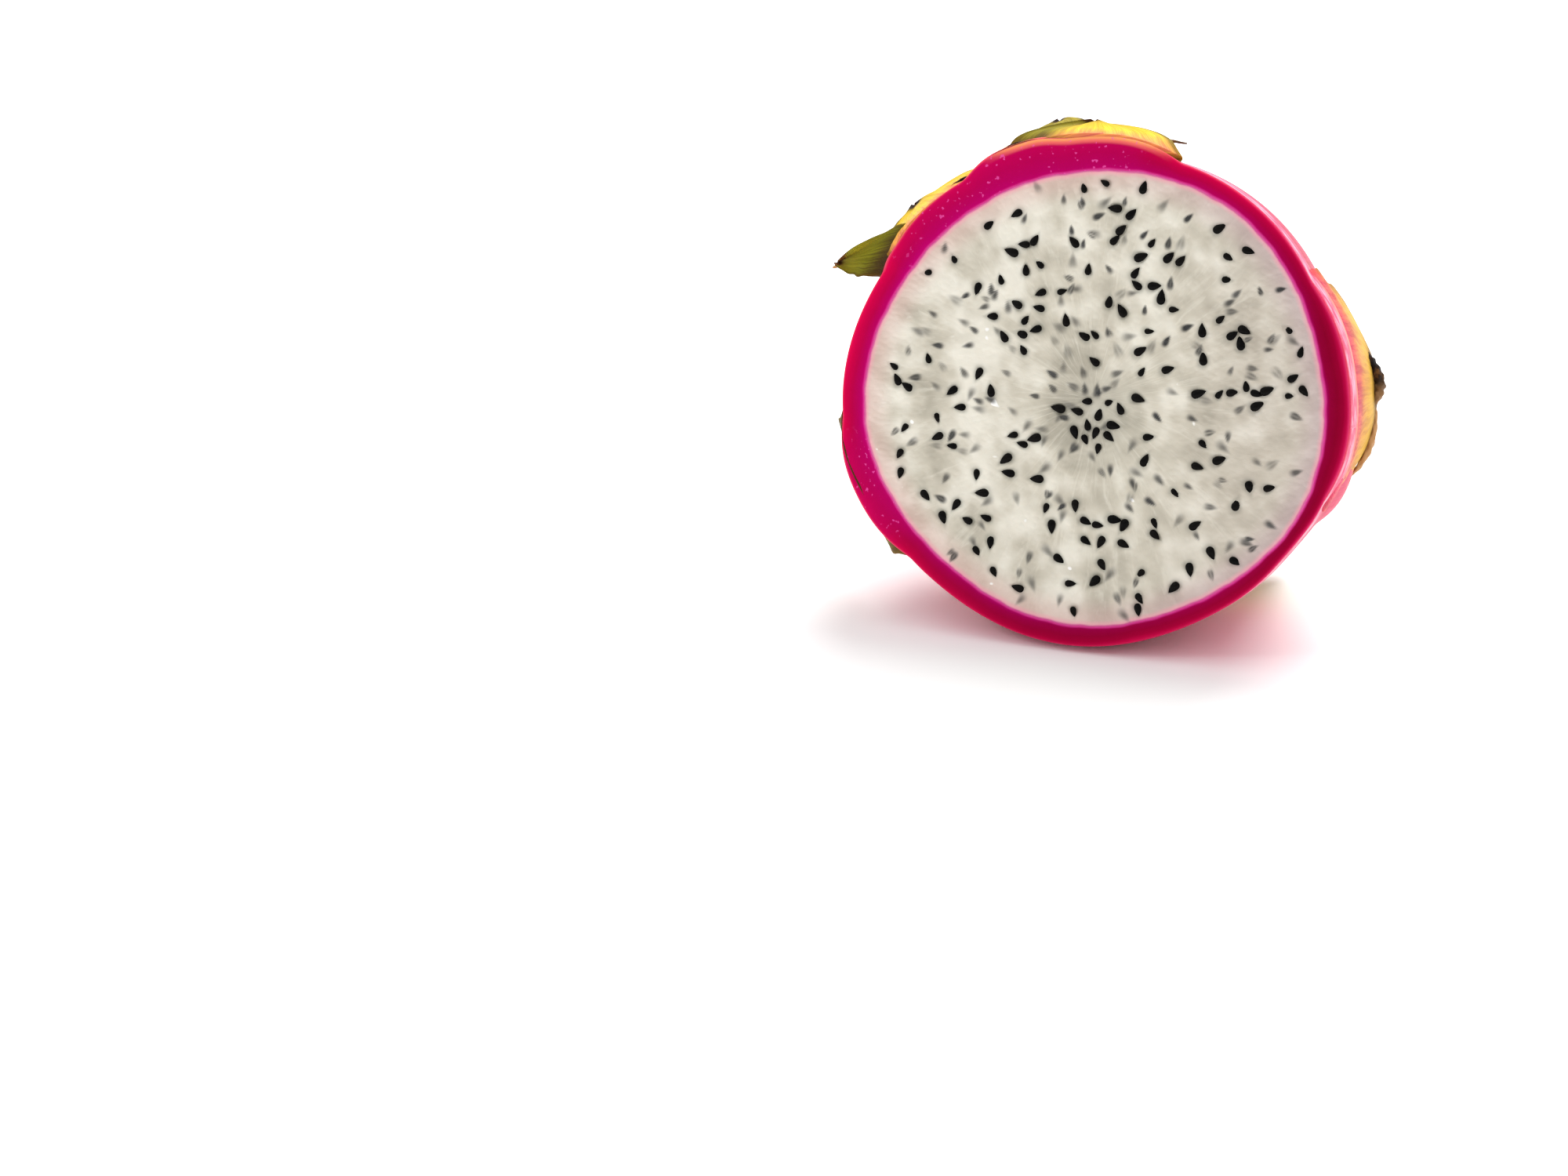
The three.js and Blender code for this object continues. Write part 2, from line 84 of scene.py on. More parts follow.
CROWN = SimpleNamespace(
    count=11, azimuth=50, turn=137.5, root=24, step=3.1, length=32, longer=0.5, width=29,
    narrower=1.15, attached=0.42, height=2.3, curl=16, curl_spread=12, sweep_spread=5, blunt=1.4,
    olive=(0.2, 0.4, 0.6), dry=0.1, blush=0.1,
)
ROOT_SHARE = 0.6  # a scale's width where it begins, as a share of the most
TIP_SHARE = 0.05  # and at its tip
SHOULDER = 1.1  # exponent of its outline, with the blunt one
MOUND = (3, 1.4)  # exponents of the swelling across a scale
FREED = (-0.02, 0.2)  # where a scale comes free, past its attached share
FADED = (0.03, 0.22)  # where the swelling under it dies away
MID_THICKNESS = 2.4  # of its middle, where it leaves the fruit
ROOT_THICKNESS = 2.6  # added to it in the grown part
TIGHTEST_BEND = 9.0  # least radius of a scale across its width
SINK = 0.4  # how far scales reach into the floor, where they are cut flat
PRESS_SOFTNESS = 0.8  # how gently the floor bends them up
SEEDS = SimpleNamespace(count=150, length=2.15, width=1.2, smallest=0.8, margin=2.0, spacing=1.9,
                        turn_spread=130, core=12, core_u=1.1, core_v=-3.9, core_radius=4.6)
NUDGE = 0.004  # step in latitude for finding the skin's direction
STRIDE = 0.01  # step along a scale for finding its direction
CROWN_DRAW = 7  # start of the random numbers for the crown
SEED_DRAW = 20  # and of those for the seeds

# ---- Finer than in the solids ----
EDGE_THICKNESS = 0.55  # of a scale at its margins and tip
OVERLAP = 0.07  # how far a scale's grown part lies under the skin
SCALE_START = 1.25  # where the blades of cut scales begin behind the cut
EARLY = 0.18  # how far before its attached share a blade begins
LOOSE_BEND = 0.5  # how much flatter a freed scale is across
THINNED = (0.15, 0.4)  # where and how much a blade's margin thins towards its tip
BLADE_TAPER = 1.5  # exponent of its thickness towards its tip
MARGIN_ROUND = (8, 0.12)  # exponent of its rounded margins, and their least thickness
LEAST_BLADE = 0.05  # least thickness of a blade on the floor
RAGS = ((19, 0.035), (47, 0.025))  # turns along a scale, share of its width
WAVES = ((0.55, 9, 3, 2), (0.35, 21, 0, 3), (0.25, 14, 5, 0))  # height, turns, turns across, exponent
SCALE_DRAW = (300, 17)  # start of the first scale's random numbers, more for each
FADED_BLUSH = (0.25, 0.45)  # reach of the pink root past which a scale's tip fades
GREEN_PART = (0.15, 0.6)  # where across a scale its olive side begins and is full
DRY_START = (1.5, 0.6)  # where the dry tip begins and is full, in dry shares from the tip
RIBS = SimpleNamespace(height=0.07, turns=11, more=4, sway=0.6, sways=6)
WOBBLES = ((13, 0.05, 1.0), (29, 0.05, 4.2), (47, 0.035, 2.2), (83, 0.02, 0.4))  # crests, height, start
RIM_SLOPE = 0.18  # fall of the cut rind per millimetre outwards
RIM_SHARES = (0.0, 0.03, 0.08, 0.15, 0.25, 0.36, 0.48, 0.6, 0.7, 0.8, 0.88, 0.95, 1.0)
RIM_GRAIN = 0.05  # height of its unevenness
BEVEL = 0.22  # of the corner between the cut and the skin
CORNER = 0.3  # how far it stands back, in bevels
SKIN_START = 0.95  # arc where the skin's own rows start
CORNER_EASE = 1.2  # arc over which the skin comes back to its form
REST = (3.0, 0.25)  # below this height the floor presses the skin up, how softly

# Dried tips and margins of the scales near the cut: how tan each turns, from which share of its length
# on, and its points (u, v, w) with a radius at each.
DRY_TIPS = (
    (0.2, 0.45, (
        (4.0, 44.9, 4.6, 0.9), (6.5, 44.5, 5.4, 0.7), (8.5, 44.4, 6.2, 0.4), (10.5, 44.2, 7.0, 0.2),
    )),
    (1.0, 0.45, (
        (-47.6, 19.3, 8.0, 0.7), (-49.2, 18.7, 9.0, 0.6), (-50.6, 18.0, 10.0, 0.42),
        (-52.0, 17.4, 10.8, 0.4),
    )),
    (0.1, 0.45, ((-25.4, 35.6, 2.6, 0.2), (-27.2, 35.1, 3.2, 0.55), (-29.7, 33.6, 4.2, 0.2))),
    (0.0, 0.45, ((-19.6, 41.3, 2.2, 0.15), (-17.7, 42.0, 2.2, 0.35), (-15.4, 42.5, 2.2, 0.2))),
    (0.5, 0.45, (
        (42.0, 11.4, 18.6, 0.5), (42.8, 9.8, 19.8, 1.0), (43.6, 8.0, 20.8, 1.5),
        (44.2, 6.3, 21.4, 1.7), (44.3, 4.3, 21.2, 1.4), (43.6, 2.2, 20.4, 0.7),
    )),
    (1.0, -0.45, (
        (40.6, -10.6, 18.6, 0.4), (42.4, -8.6, 19.2, 0.7), (43.7, -5.6, 19.8, 1.0),
        (44.3, -2.6, 20.2, 0.9), (44.3, 0.6, 20.6, 0.6), (43.9, 2.6, 20.8, 0.3),
    )),
)
TAN_SPREAD = 0.45  # share of its length over which it turns tan
TIP_FLATNESS = 0.62  # of its section

POINTED = (0.42, 0.45)  # how much a seed and its mark narrow to its point
SEED_POINT = 1.12  # how far its point reaches, in half lengths
SEED_HALF_HEIGHT = 0.52
SEED_SUNK = (0.12, 0.1)  # depth of its middle under the face, more or less
SEED_DIP = 14  # how far its point may dip or rise
BURIED = ((70, 1.0, 0.4, 505), (70, 0.93, 0.6, 606), (90, 0.75, 0.9, 707))  # count, dark, blur, draw
BURIED_SIZE = (0.7, 0.35, 0.85)  # smallest, range, width against length
PULP_DRAW, SEED_TURN_DRAW = 11, 77
SEED_REACH = 3.5  # how far from its middle a seed marks the pulp
RELIEF = ((11.0, 0.08), (5.0, 0.06), (2.2, 0.04), (1.1, 0.03))  # size and height of the pulp's waves
CLOUDS = ((26.0, 0.5), (12.0, 0.45), (6.0, 0.3), (3.1, 0.15))  # and of its clouds
FACE_OVERLAP = 0.04  # how far the pulp reaches over the rind's edge
BACK_CLEARANCE = 0.1  # between the pulp and the rind behind the cut

PAINTED_LIGHT_SIDE = 150  # azimuth where the painted light on the cut rind is brightest
PAINTED_LIGHT_CHANGES = ((64, 20, 0.3), (300, 25, 0.22), (14, 15, -0.25))  # painted light and shade round the cut rind: azimuth, spread, change
GOLD_PART = ((76, 86), (112, 122))  # azimuths where its outer edge turns golden and back
SCAR_BARK = (5.5, 11.0)  # radii between which the skin turns from bark to pink
FAR_AWAY = 9.0  # a distance too large to count

# ---- Fineness: numbers of rows and columns ----
COLUMNS = 560
SKIN_ROWS = 140
INNER_ROWS = 8
ARC_STEPS = 400
FACE_SIDE = 296
BACK_ROWS = 8
SCALE_STEPS = 56
SCALE_ACROSS = 26
TIP_AROUND = 14
TIP_STEPS = 9
SEED_AROUND = 18
SEED_ROWS = 12


# ---- Helpers ----
def smooth(x, low, high):
    share = np.clip((x - low) / (high - low), 0.0, 1.0)
    return share * share * (3.0 - 2.0 * share)


def turn_between(start, end):
    return (end - start + pi) % (2 * pi) - pi


def hill(distance, spread):
    """1 at no distance, falling smoothly to almost 0 at twice the spread."""
    return np.exp(-((distance / spread) ** 2))


def full_turn(count):
    return np.linspace(0, 2 * pi, count, endpoint=False)


class Draw:
    """Even random numbers from 0 to 1, the same in every run."""

    def __init__(self, seed):
        self.state = seed

    def __call__(self):
        self.state = (self.state * 1664525 + 1013904223) & 0xFFFFFFFF
        return self.state / 4294967296

    def spread(self, size):
        return size * (2 * self() - 1)


# ---- The fruit's outline ----
def flesh_outline(azimuth):
    total = np.full_like(azimuth, FLESH_RADIUS, dtype=float)
    for crests, height, peak in LOBES:
        total += height * np.cos(crests * (azimuth - rad(peak)))
    return total


def wobble(azimuth):
    """Unevenness of the flesh's edge in the cut."""
    return sum(height * np.sin(crests * azimuth + start) for crests, height, start in WOBBLES)


def skin_outline(azimuth):
    extra, side = THICK_SIDE
    loss, place, spread = THIN_PLACE
    swell = extra * (1 + np.cos(azimuth - rad(side))) / 2
    thin = loss * hill(turn_between(rad(place), azimuth), rad(spread))
    return flesh_outline(azimuth) + RIND + swell - thin


def lengthwise(latitude):
    """Depth and share of the cut's radius at each latitude, which is 0 at the cut."""
    return DEPTH * np.sin(latitude), np.maximum(np.cos(latitude), 0.0) ** FULLNESS


def arc_table():
    latitude = np.linspace(0, pi / 2, ARC_STEPS + 1)
    w, share = lengthwise(latitude)
    pieces = np.hypot(np.diff(w), MEAN_RADIUS * np.diff(share))
    return np.concatenate(([0.0], np.cumsum(pieces))), latitude


ARCS, LATITUDES = arc_table()
ARC_LENGTH = float(ARCS[-1])


def meridian(arc):
    """Depth, share of the cut's radius and outward normal of the plain skin at each arc."""
    arc = np.asarray(arc, dtype=float)
    latitude = np.interp(arc, ARCS, LATITUDES)
    w, share = lengthwise(latitude)
    w_next, share_next = lengthwise(np.minimum(latitude + NUDGE, pi / 2))
    w_last, share_last = lengthwise(np.maximum(latitude - NUDGE, 0.0))
    dw = w_next - w_last
    dr = MEAN_RADIUS * (share_next - share_last)
    size = np.hypot(dw, dr)
    ahead = (arc, 1.0, 1.0, 0.0)  # straight on, in front of the cut
    return tuple(np.where(arc <= 0, a, b) for a, b in zip(ahead, (w, share, dw / size, -dr / size)))


# ---- The scales' place on the skin ----
def all_scales():
    """The scales placed one by one, then those placed by a rule."""
    scales = [Scale(*row) for row in CUT_SCALES]
    draw = Draw(CROWN_DRAW)
    for i in range(CROWN.count):
        scales.append(Scale(
            CROWN.azimuth + i * CROWN.turn, CROWN.root + i * CROWN.step,
            CROWN.length + i * CROWN.longer, CROWN.width - i * CROWN.narrower,
            CROWN.attached, CROWN.height, lean=0,
            curl=CROWN.curl + draw.spread(CROWN.curl_spread), sweep=draw.spread(CROWN.sweep_spread),
            blunt=CROWN.blunt, flare=1, olive=CROWN.olive[i % len(CROWN.olive)], dry=CROWN.dry,
            blush=CROWN.blush, green_side=0.0,
        ))
    return scales


SCALES = all_scales()


def width_share(scale, s):
    s = np.asarray(s, dtype=float)
    out = np.clip((s - scale.attached) / (1 - scale.attached), 0.0, 1.0)
    grown = ROOT_SHARE + (1 - ROOT_SHARE) * smooth(s, 0.0, scale.attached)
    free = TIP_SHARE + (1 - TIP_SHARE) * (1 - out ** scale.blunt) ** SHOULDER
    return np.where(s <= scale.attached, grown, free)


def across_share(t):
    flat, steep = MOUND
    return np.maximum(0.0, 1 - np.abs(t) ** flat) ** steep


def leaf_place(scale, s):
    """0 at a scale's root, a half where it comes free and 1 at its tip."""
    attached = scale.attached
    return np.where(s < attached, 0.5 * s / attached, 0.5 + 0.5 * (s - attached) / (1 - attached))


def swelling(azimuth, arc, radius):
    """How far the skin swells over the plain outline, and where it lies on the scale nearest to it.

    Where scales overlap, the higher swelling and the nearer scale win smoothly, as cubes add up.
    """
    fade_along, fade_across = (-0.05, 0.28), (0.55, 1.25)  # where a scale's colours end
    total, along, across, weight, most = (np.zeros_like(radius) for _ in range(5))
    for scale in SCALES:
        attached = scale.attached
        s = (arc - scale.root) / scale.length
        side = radius * turn_between(rad(scale.azimuth), azimuth) - scale.sweep * s * s
        t = side / (scale.width / 2 * width_share(scale, np.minimum(s, attached)))
        inside = (s > 0) & (s < attached + FADED[1]) & (np.abs(t) < 1)
        rise = smooth(s, 0.0, attached)
        fall = 1 - smooth(s, attached + FADED[0], attached + FADED[1])
        total += np.where(inside, scale.height * rise * fall * across_share(t), 0.0) ** 3
        reach = rise * (1 - smooth(s, attached + fade_along[0], attached + fade_along[1]))
        reach = reach * (1 - smooth(np.abs(t), *fade_across))
        along += leaf_place(scale, s) * reach ** 3
        across += t * reach ** 3
        weight += reach ** 3
        most = np.maximum(most, reach)
    weight = np.maximum(weight, 1e-6)
    return np.cbrt(total), (along / weight, across / weight, most)


def scar_lift(radius):
    """The dish left by the flower, with a lip round it and a stub in its middle."""
    dish = -SCAR.depth * (1 - smooth(radius, SCAR.bottom, SCAR.radius))
    lip = SCAR.lip * hill(radius - SCAR.lip_radius, SCAR.lip_width)
    return dish + lip + SCAR.stub * hill(radius, SCAR.stub_radius)


def at(azimuth, radius, w):
    """Points in the fruit's frame."""
    u, v = radius * np.cos(azimuth), radius * np.sin(azimuth)
    return np.stack(np.broadcast_arrays(u, v, w), axis=-1)


def skin_points(azimuth, arc):
    """Points on the skin, with their place on the nearest scale."""
    least_turn = 4.0  # least radius that places across a scale are measured round
    w, share, normal_r, normal_w = meridian(arc)
    radius = skin_outline(azimuth) * share
    lift, leaf = swelling(azimuth, arc, np.maximum(radius, least_turn))
    lift = lift + np.where(arc > 0, scar_lift(radius), 0.0)
    return at(azimuth, radius + lift * normal_r, w + lift * normal_w), leaf


def inner_points(azimuth, latitude, clearance=0.0):
    """Points on the inside of the rind, or as far inside it as the clearance says."""
    radius = (flesh_outline(azimuth) - clearance) * lengthwise(latitude)[1]
    return at(azimuth, radius, (DEPTH - RIND_POLE - clearance) * np.sin(latitude))


# ---- From the fruit's frame to the world ----
def pressed_up(z, level, softness):
    return level + ((z - level) + np.hypot(z - level, softness)) / 2


def to_world(points):
    points = np.asarray(points)
    c, s = cos(rad(TILT)), sin(rad(TILT))
    u, v, w = points[..., 0], points[..., 1], points[..., 2]
    x, y, z = FACE_CENTRE
    return np.stack((x + u, y + w * c + v * s, z + v * c - w * s), axis=-1)


def mesh_object(name, points, faces, attributes=None):
    """A smooth mesh from points in millimetres, with one number per point for each attribute."""
    mesh = bpy.data.meshes.new(name)
    points = np.asarray(points, dtype=np.float64).reshape(-1, 3) * MM
    loops = np.concatenate([group.reshape(-1) for group in faces])
    totals = np.concatenate([np.full(len(group), group.shape[1]) for group in faces])
    starts = np.concatenate(([0], np.cumsum(totals)[:-1]))
    mesh.vertices.add(len(points))
    mesh.vertices.foreach_set("co", points.reshape(-1).astype(np.float32))
    mesh.loops.add(len(loops))
    mesh.loops.foreach_set("vertex_index", loops.astype(np.int32))
    mesh.polygons.add(len(totals))
    mesh.polygons.foreach_set("loop_start", starts.astype(np.int32))
    mesh.polygons.foreach_set("loop_total", totals.astype(np.int32))
    mesh.polygons.foreach_set("use_smooth", np.ones(len(totals), dtype=bool))
    mesh.update(calc_edges=True)
    for key, values in (attributes or {}).items():
        layer = mesh.attributes.new(key, "FLOAT", "POINT")
        layer.data.foreach_set("value", np.asarray(values, dtype=np.float32).reshape(-1))
    piece = bpy.data.objects.new(name, mesh)
    bpy.context.scene.collection.objects.link(piece)
    return piece


def ring_faces(rows, columns, first=0):
    """Quads between each row of points and the next, where every row closes on itself."""
    i = np.arange(columns)
    j = (i + 1) % columns
    base = first + np.arange(rows - 1)[:, None] * columns
    quads = np.stack((base + i, base + columns + i, base + columns + j, base + j), axis=-1)
    return quads.reshape(-1, 4)


def fan_faces(row, columns, tip, closing=False):
    """Triangles from the row of points that starts at an index to the surface's end."""
    i = row + np.arange(columns)
    j = row + (np.arange(columns) + 1) % columns
    first, second = (j, i) if closing else (i, j)
    return np.stack((first, second, np.full(columns, tip)), axis=-1)


def closed_mesh(name, surfaces):
    """One mesh of closed surfaces, each with its rows of world points, the two points that end it,
    and its notes: named numbers for the rows' points.
    """
    points, quads, fans, values = [], [], [], {}
    offset = 0
    for rows, ends, notes in surfaces:
        count, columns = rows.shape[:2]
        last = offset + count * columns
        points.append(np.concatenate((rows.reshape(-1, 3), ends)))
        quads.append(ring_faces(count, columns, offset))
        fans.append(fan_faces(offset, columns, last))
        fans.append(fan_faces(last - columns, columns, last + 1, closing=True))
        for key, value in notes.items():
            value = np.broadcast_to(value, (count, columns))
            value = np.concatenate((value.reshape(-1), value[0, :1], value[-1, :1]))
            values.setdefault(key, []).append(value)
        offset = last + 2
    values = {key: np.concatenate(parts) for key, parts in values.items()}
    return mesh_object(name, np.concatenate(points), [np.concatenate(quads), np.concatenate(fans)], values)


# ---- The rind ----
def pressed_to_floor(points):
    world = to_world(points)
    height, softness = REST
    z = world[..., 2]
    world[..., 2] = np.where(z < height, pressed_up(z, 0.0, softness), z)
    return world


def build_rind():
    """The inside, then the cut from the flesh out to the skin, then the skin to the flower end."""
    near_pole = 0.97  # latitude of the inside's first row, as a share of the pole's
    end_gap = 0.25  # arc from the skin's last row to the pole
    at_corner = 0.05  # how far the corner counts as lying from the skin
    azimuth = full_turn(COLUMNS)
    (rise, risen), (fall, fallen) = GOLD_PART
    gold = smooth(azimuth, rad(rise), rad(risen)) * (1 - smooth(azimuth, rad(fall), rad(fallen)))
    # painted light and shade round the cut rind: lighter towards the upper left, darker towards the lower
    # right
    bright = 0.5 + 0.5 * np.cos(azimuth - rad(PAINTED_LIGHT_SIDE))
    for place, spread, change in PAINTED_LIGHT_CHANGES:
        bright += change * hill(turn_between(rad(place), azimuth), rad(spread))
    rows = []
    notes = {key: [] for key in ("inside_mm", "outside_mm", "leaf_s", "leaf_t", "leaf", "scar")}

    def add(points, inside=FAR_AWAY, outside=FAR_AWAY, leaf=(0.0, 0.0, 0.0), scar=0.0):
        rows.append(points)
        for key, value in zip(notes, (inside, outside, *leaf, scar)):
            notes[key].append(np.broadcast_to(value, (COLUMNS,)))

    for latitude in np.linspace(pi / 2 * near_pole, 0.0, INNER_ROWS + 1)[:-1]:
        add(inner_points(azimuth, latitude), inside=0.0)
    edge, leaf = skin_points(azimuth, 0.0)
    inner = flesh_outline(azimuth) + wobble(azimuth)
    outer = np.hypot(edge[:, 0], edge[:, 1])
    grain = RIM_GRAIN * (np.sin(azimuth * 37 + 1.3) + np.sin(azimuth * 61) * np.sin(azimuth * 17))
    for share in RIM_SHARES:
        r = inner + (outer - BEVEL - inner) * share
        sunk = RIM_SLOPE * (r - inner) + grain * sin(pi * share)
        add(at(azimuth, r, sunk), r - inner, outer - r, leaf)
    low = RIM_SLOPE * (outer - inner)
    add(at(azimuth, outer - CORNER * BEVEL, low + CORNER * BEVEL), outer - inner, at_corner, leaf)
    for arc in np.linspace(SKIN_START, ARC_LENGTH - end_gap, SKIN_ROWS):
        points, leaf = skin_points(azimuth, arc)
        r = np.hypot(points[:, 0], points[:, 1])
        points[:, 2] += (low + BEVEL - SKIN_START) * hill(arc - SKIN_START, CORNER_EASE)
        add(points, FAR_AWAY, arc, leaf, 1 - smooth(r, *SCAR_BARK))
    pole = np.zeros(1)
    ends = np.concatenate((inner_points(pole, pi / 2), skin_points(pole, ARC_LENGTH)[0]))
    notes = {key: np.stack(parts) for key, parts in notes.items()}
    notes.update(bright=bright, azimuth=azimuth, gold=gold)
    piece = closed_mesh("rind", [(pressed_to_floor(np.stack(rows)), pressed_to_floor(ends), notes)])
    cut_rows = np.zeros(len(rows) - 1, dtype=np.int32)
    cut_rows[INNER_ROWS:INNER_ROWS + len(RIM_SHARES)] = 1
    slots = np.concatenate((np.repeat(cut_rows, COLUMNS), np.zeros(2 * COLUMNS, dtype=np.int32)))
    piece.data.polygons.foreach_set("material_index", slots)
    return piece


# ---- The scales ----
def scale_midline(scale, steps):
    """Radius, depth and heading of a scale's middle line."""
    attached = scale.attached
    radius = float(skin_outline(rad(scale.azimuth)))

    def crest(s):
        w, share, normal_r, normal_w = meridian(scale.root + s * scale.length)
        lift = scale.height * smooth(s, 0.0, attached)
        return float(radius * share + lift * normal_r), float(w + lift * normal_w)

    def heading_at(s):
        (before_r, before_w), (after_r, after_w) = crest(s - STRIDE), crest(s + STRIDE)
        return atan2(after_r - before_r, after_w - before_w)

    leaving = heading_at(attached - STRIDE)

    def free_heading(s):
        return leaving + rad(scale.lean) + rad(scale.curl) * (s - attached) / (1 - attached)

    line = []
    r, w = crest(attached)
    last = attached
    for s in steps:
        if s <= attached:
            line.append((*crest(s), heading_at(s)))
            continue
        between = free_heading((s + last) / 2)
        r += (s - last) * scale.length * sin(between)
        w += (s - last) * scale.length * cos(between)
        line.append((r, w, free_heading(s)))
        last = s
    return np.array(line)


def build_scale(number, scale):
    """One scale, whose rows run over its upper side and back underneath."""
    first, more = SCALE_DRAW
    draw = Draw(first + number * more)
    phases = [draw() * 2 * pi for _ in range(6)]
    attached = scale.attached
    start = max(attached - EARLY, (SCALE_START - scale.root) / scale.length)
    steps = start + (1 - start) * np.linspace(0, 1, SCALE_STEPS + 1)
    line = scale_midline(scale, steps)
    r, w, heading = line[:, 0:1], line[:, 1:2], line[:, 2:3]
    s = steps[:, None]
    t = np.sin(np.linspace(-pi / 2, pi / 2, SCALE_ACROSS))
    azimuth = rad(scale.azimuth)
    out = np.array((cos(azimuth), sin(azimuth), 0.0))
    along = np.array((0.0, 0.0, 1.0))
    aside = np.array((-sin(azimuth), cos(azimuth), 0.0))
    normal = out * np.cos(heading)[..., None] - along * np.sin(heading)[..., None]

    free = smooth(s, attached + FREED[0], attached + FREED[1])
    far = smooth(s, attached + THINNED[0], 1.0)
    loose = free * scale.flare
    ragged = 1 + free * sum(share * np.sin(turns * s + phase)
                            for (turns, share), phase in zip(RAGS, phases[4:]))
    side = t * scale.width / 2 * width_share(scale, s) * ragged
    bend = np.maximum(r, TIGHTEST_BEND)
    turned = side / bend
    drape = bend * (1 - np.cos(turned)) * (1 - LOOSE_BEND * loose)
    drop = (scale.height * (1 - across_share(t)) + OVERLAP) * (1 - loose)
    wave = far * sum(height * np.sin(turns * s + across * t + phase) * np.abs(t) ** power
                     for (height, turns, across, power), phase in zip(WAVES, phases))
    ribs = np.sin(t * (RIBS.turns + RIBS.more * draw())
                  + RIBS.sway * np.sin(RIBS.sways * s + phases[3]))
    lift = wave + RIBS.height * free * ribs - drop

    # Where it is grown to the skin, the blade follows the skin's own outline.
    swept = scale.sweep * s * s
    follow = skin_outline(azimuth + turned + swept / bend) - skin_outline(azimuth)
    follow = follow * meridian(scale.root + s * scale.length)[1] * (1 - free)
    top = (out * (r - drape + follow * np.cos(turned))[..., None] + along * w[..., None]
           + aside * ((bend + follow) * np.sin(turned) + swept)[..., None]
           + normal * lift[..., None])

    tapered = np.minimum((1 - s) / (1 - attached), 1.0)
    middle = EDGE_THICKNESS + (MID_THICKNESS - EDGE_THICKNESS) * tapered ** BLADE_TAPER
    thick = middle + (EDGE_THICKNESS - middle) * t * t + ROOT_THICKNESS * (1 - free)
    power, least = MARGIN_ROUND
    rounded = np.sqrt(np.maximum(1 - np.abs(t) ** power, 0.0)) * (1 - THINNED[1] * far)
    bottom = top - normal * (thick * np.maximum(rounded, least))[..., None]

    upper, lower = to_world(top), to_world(bottom)
    lower[..., 2] = np.maximum(pressed_up(lower[..., 2], -SINK, PRESS_SOFTNESS), 0.0)
    upper[..., 2] = pressed_up(upper[..., 2], EDGE_THICKNESS, PRESS_SOFTNESS)
    upper[..., 2] = np.maximum(upper[..., 2], lower[..., 2] + LEAST_BLADE)
    rows = np.concatenate((upper, lower[:, ::-1]), axis=1)

    both = np.concatenate((t, t[::-1]))
    place = leaf_place(scale, s)
    notes = {
        "leaf_s": place * (1 + scale.blush) - scale.blush,
        "leaf_t": both,
        "under": np.repeat((0.0, 1.0), SCALE_ACROSS),
        "leaf_id": draw(),
        "faded": smooth(scale.blush, *FADED_BLUSH),
        "olive": scale.olive + scale.green_side * smooth(both, *GREEN_PART),
        "dry": smooth(place, *(1 - share * scale.dry for share in DRY_START)),
    }
    return rows, np.stack((rows[0].mean(0), rows[-1].mean(0))), notes


def build_dry_tip(number, most_tan, tan_from, knots):
    """A flattened, crumpled tube along its smoothed line."""
    knots = np.array(knots)
    place = np.linspace(0, len(knots) - 1, TIP_STEPS * (len(knots) - 1) + 1)
    line = np.stack([np.interp(place, np.arange(len(knots)), column) for column in knots.T], axis=-1)
    for _ in range(6):
        line[1:-1] = 0.25 * line[:-2] + 0.5 * line[1:-1] + 0.25 * line[2:]
    middle, radius = line[:, :3], line[:, 3:]
    ahead = np.gradient(middle, axis=0)
    ahead /= np.linalg.norm(ahead, axis=1, keepdims=True)
    out = np.cross(ahead, (0.0, 0.0, 1.0))
    out /= np.linalg.norm(out, axis=1, keepdims=True)
    back = np.cross(out, ahead)
    turn = full_turn(TIP_AROUND)
    k = np.arange(len(line))[:, None]
    size = radius * (1 + 0.16 * np.sin(3 * turn + 0.9 * k + number) + 0.1 * np.sin(5 * turn - 0.6 * k))
    rows = (middle[:, None] + out[:, None] * (TIP_FLATNESS * size * np.cos(turn))[..., None]
            + back[:, None] * (size * np.sin(turn))[..., None])
    tan = most_tan * smooth(place / place[-1], tan_from, tan_from + TAN_SPREAD)
    return to_world(rows), to_world(middle[[0, -1]]), {"tan": tan[:, None]}


# ---- The flesh ----
def seed_places():
    """Middle, turn and size of each seed; the first few crowd the core."""
    draw = Draw(SEED_DRAW)
    places = []
    while len(places) < SEEDS.count:
        azimuth = 2 * pi * draw()
        core = len(places) < SEEDS.core
        edge = float(flesh_outline(azimuth)) - SEEDS.margin
        radius = (SEEDS.core_radius if core else edge) * sqrt(draw())
        u = radius * cos(azimuth) + (SEEDS.core_u if core else 0)
        v = radius * sin(azimuth) + (SEEDS.core_v if core else 0)
        turn = azimuth + rad(SEEDS.turn_spread) * (draw() + draw() - 1)
        size = SEEDS.smallest + 2 * (1 - SEEDS.smallest) * draw()
        if all(hypot(a - u, b - v) > SEEDS.spacing for a, b, *_ in places):
            places.append((u, v, turn, size))
    return places


SEED_PLACES = seed_places()


def disc_grid(side):
    """A square grid bent to a disc of radius 1, with even steps."""
    line = np.linspace(-1, 1, side)
    a, b = np.meshgrid(line, line)
    wide = np.abs(a) >= np.abs(b)
    safe_a, safe_b = np.where(a == 0, 1, a), np.where(b == 0, 1, b)
    r = np.where(wide, a, b)
    turn = np.where(wide, pi / 4 * b / safe_a, pi / 2 - pi / 4 * a / safe_b)
    return r * np.cos(turn), r * np.sin(turn)


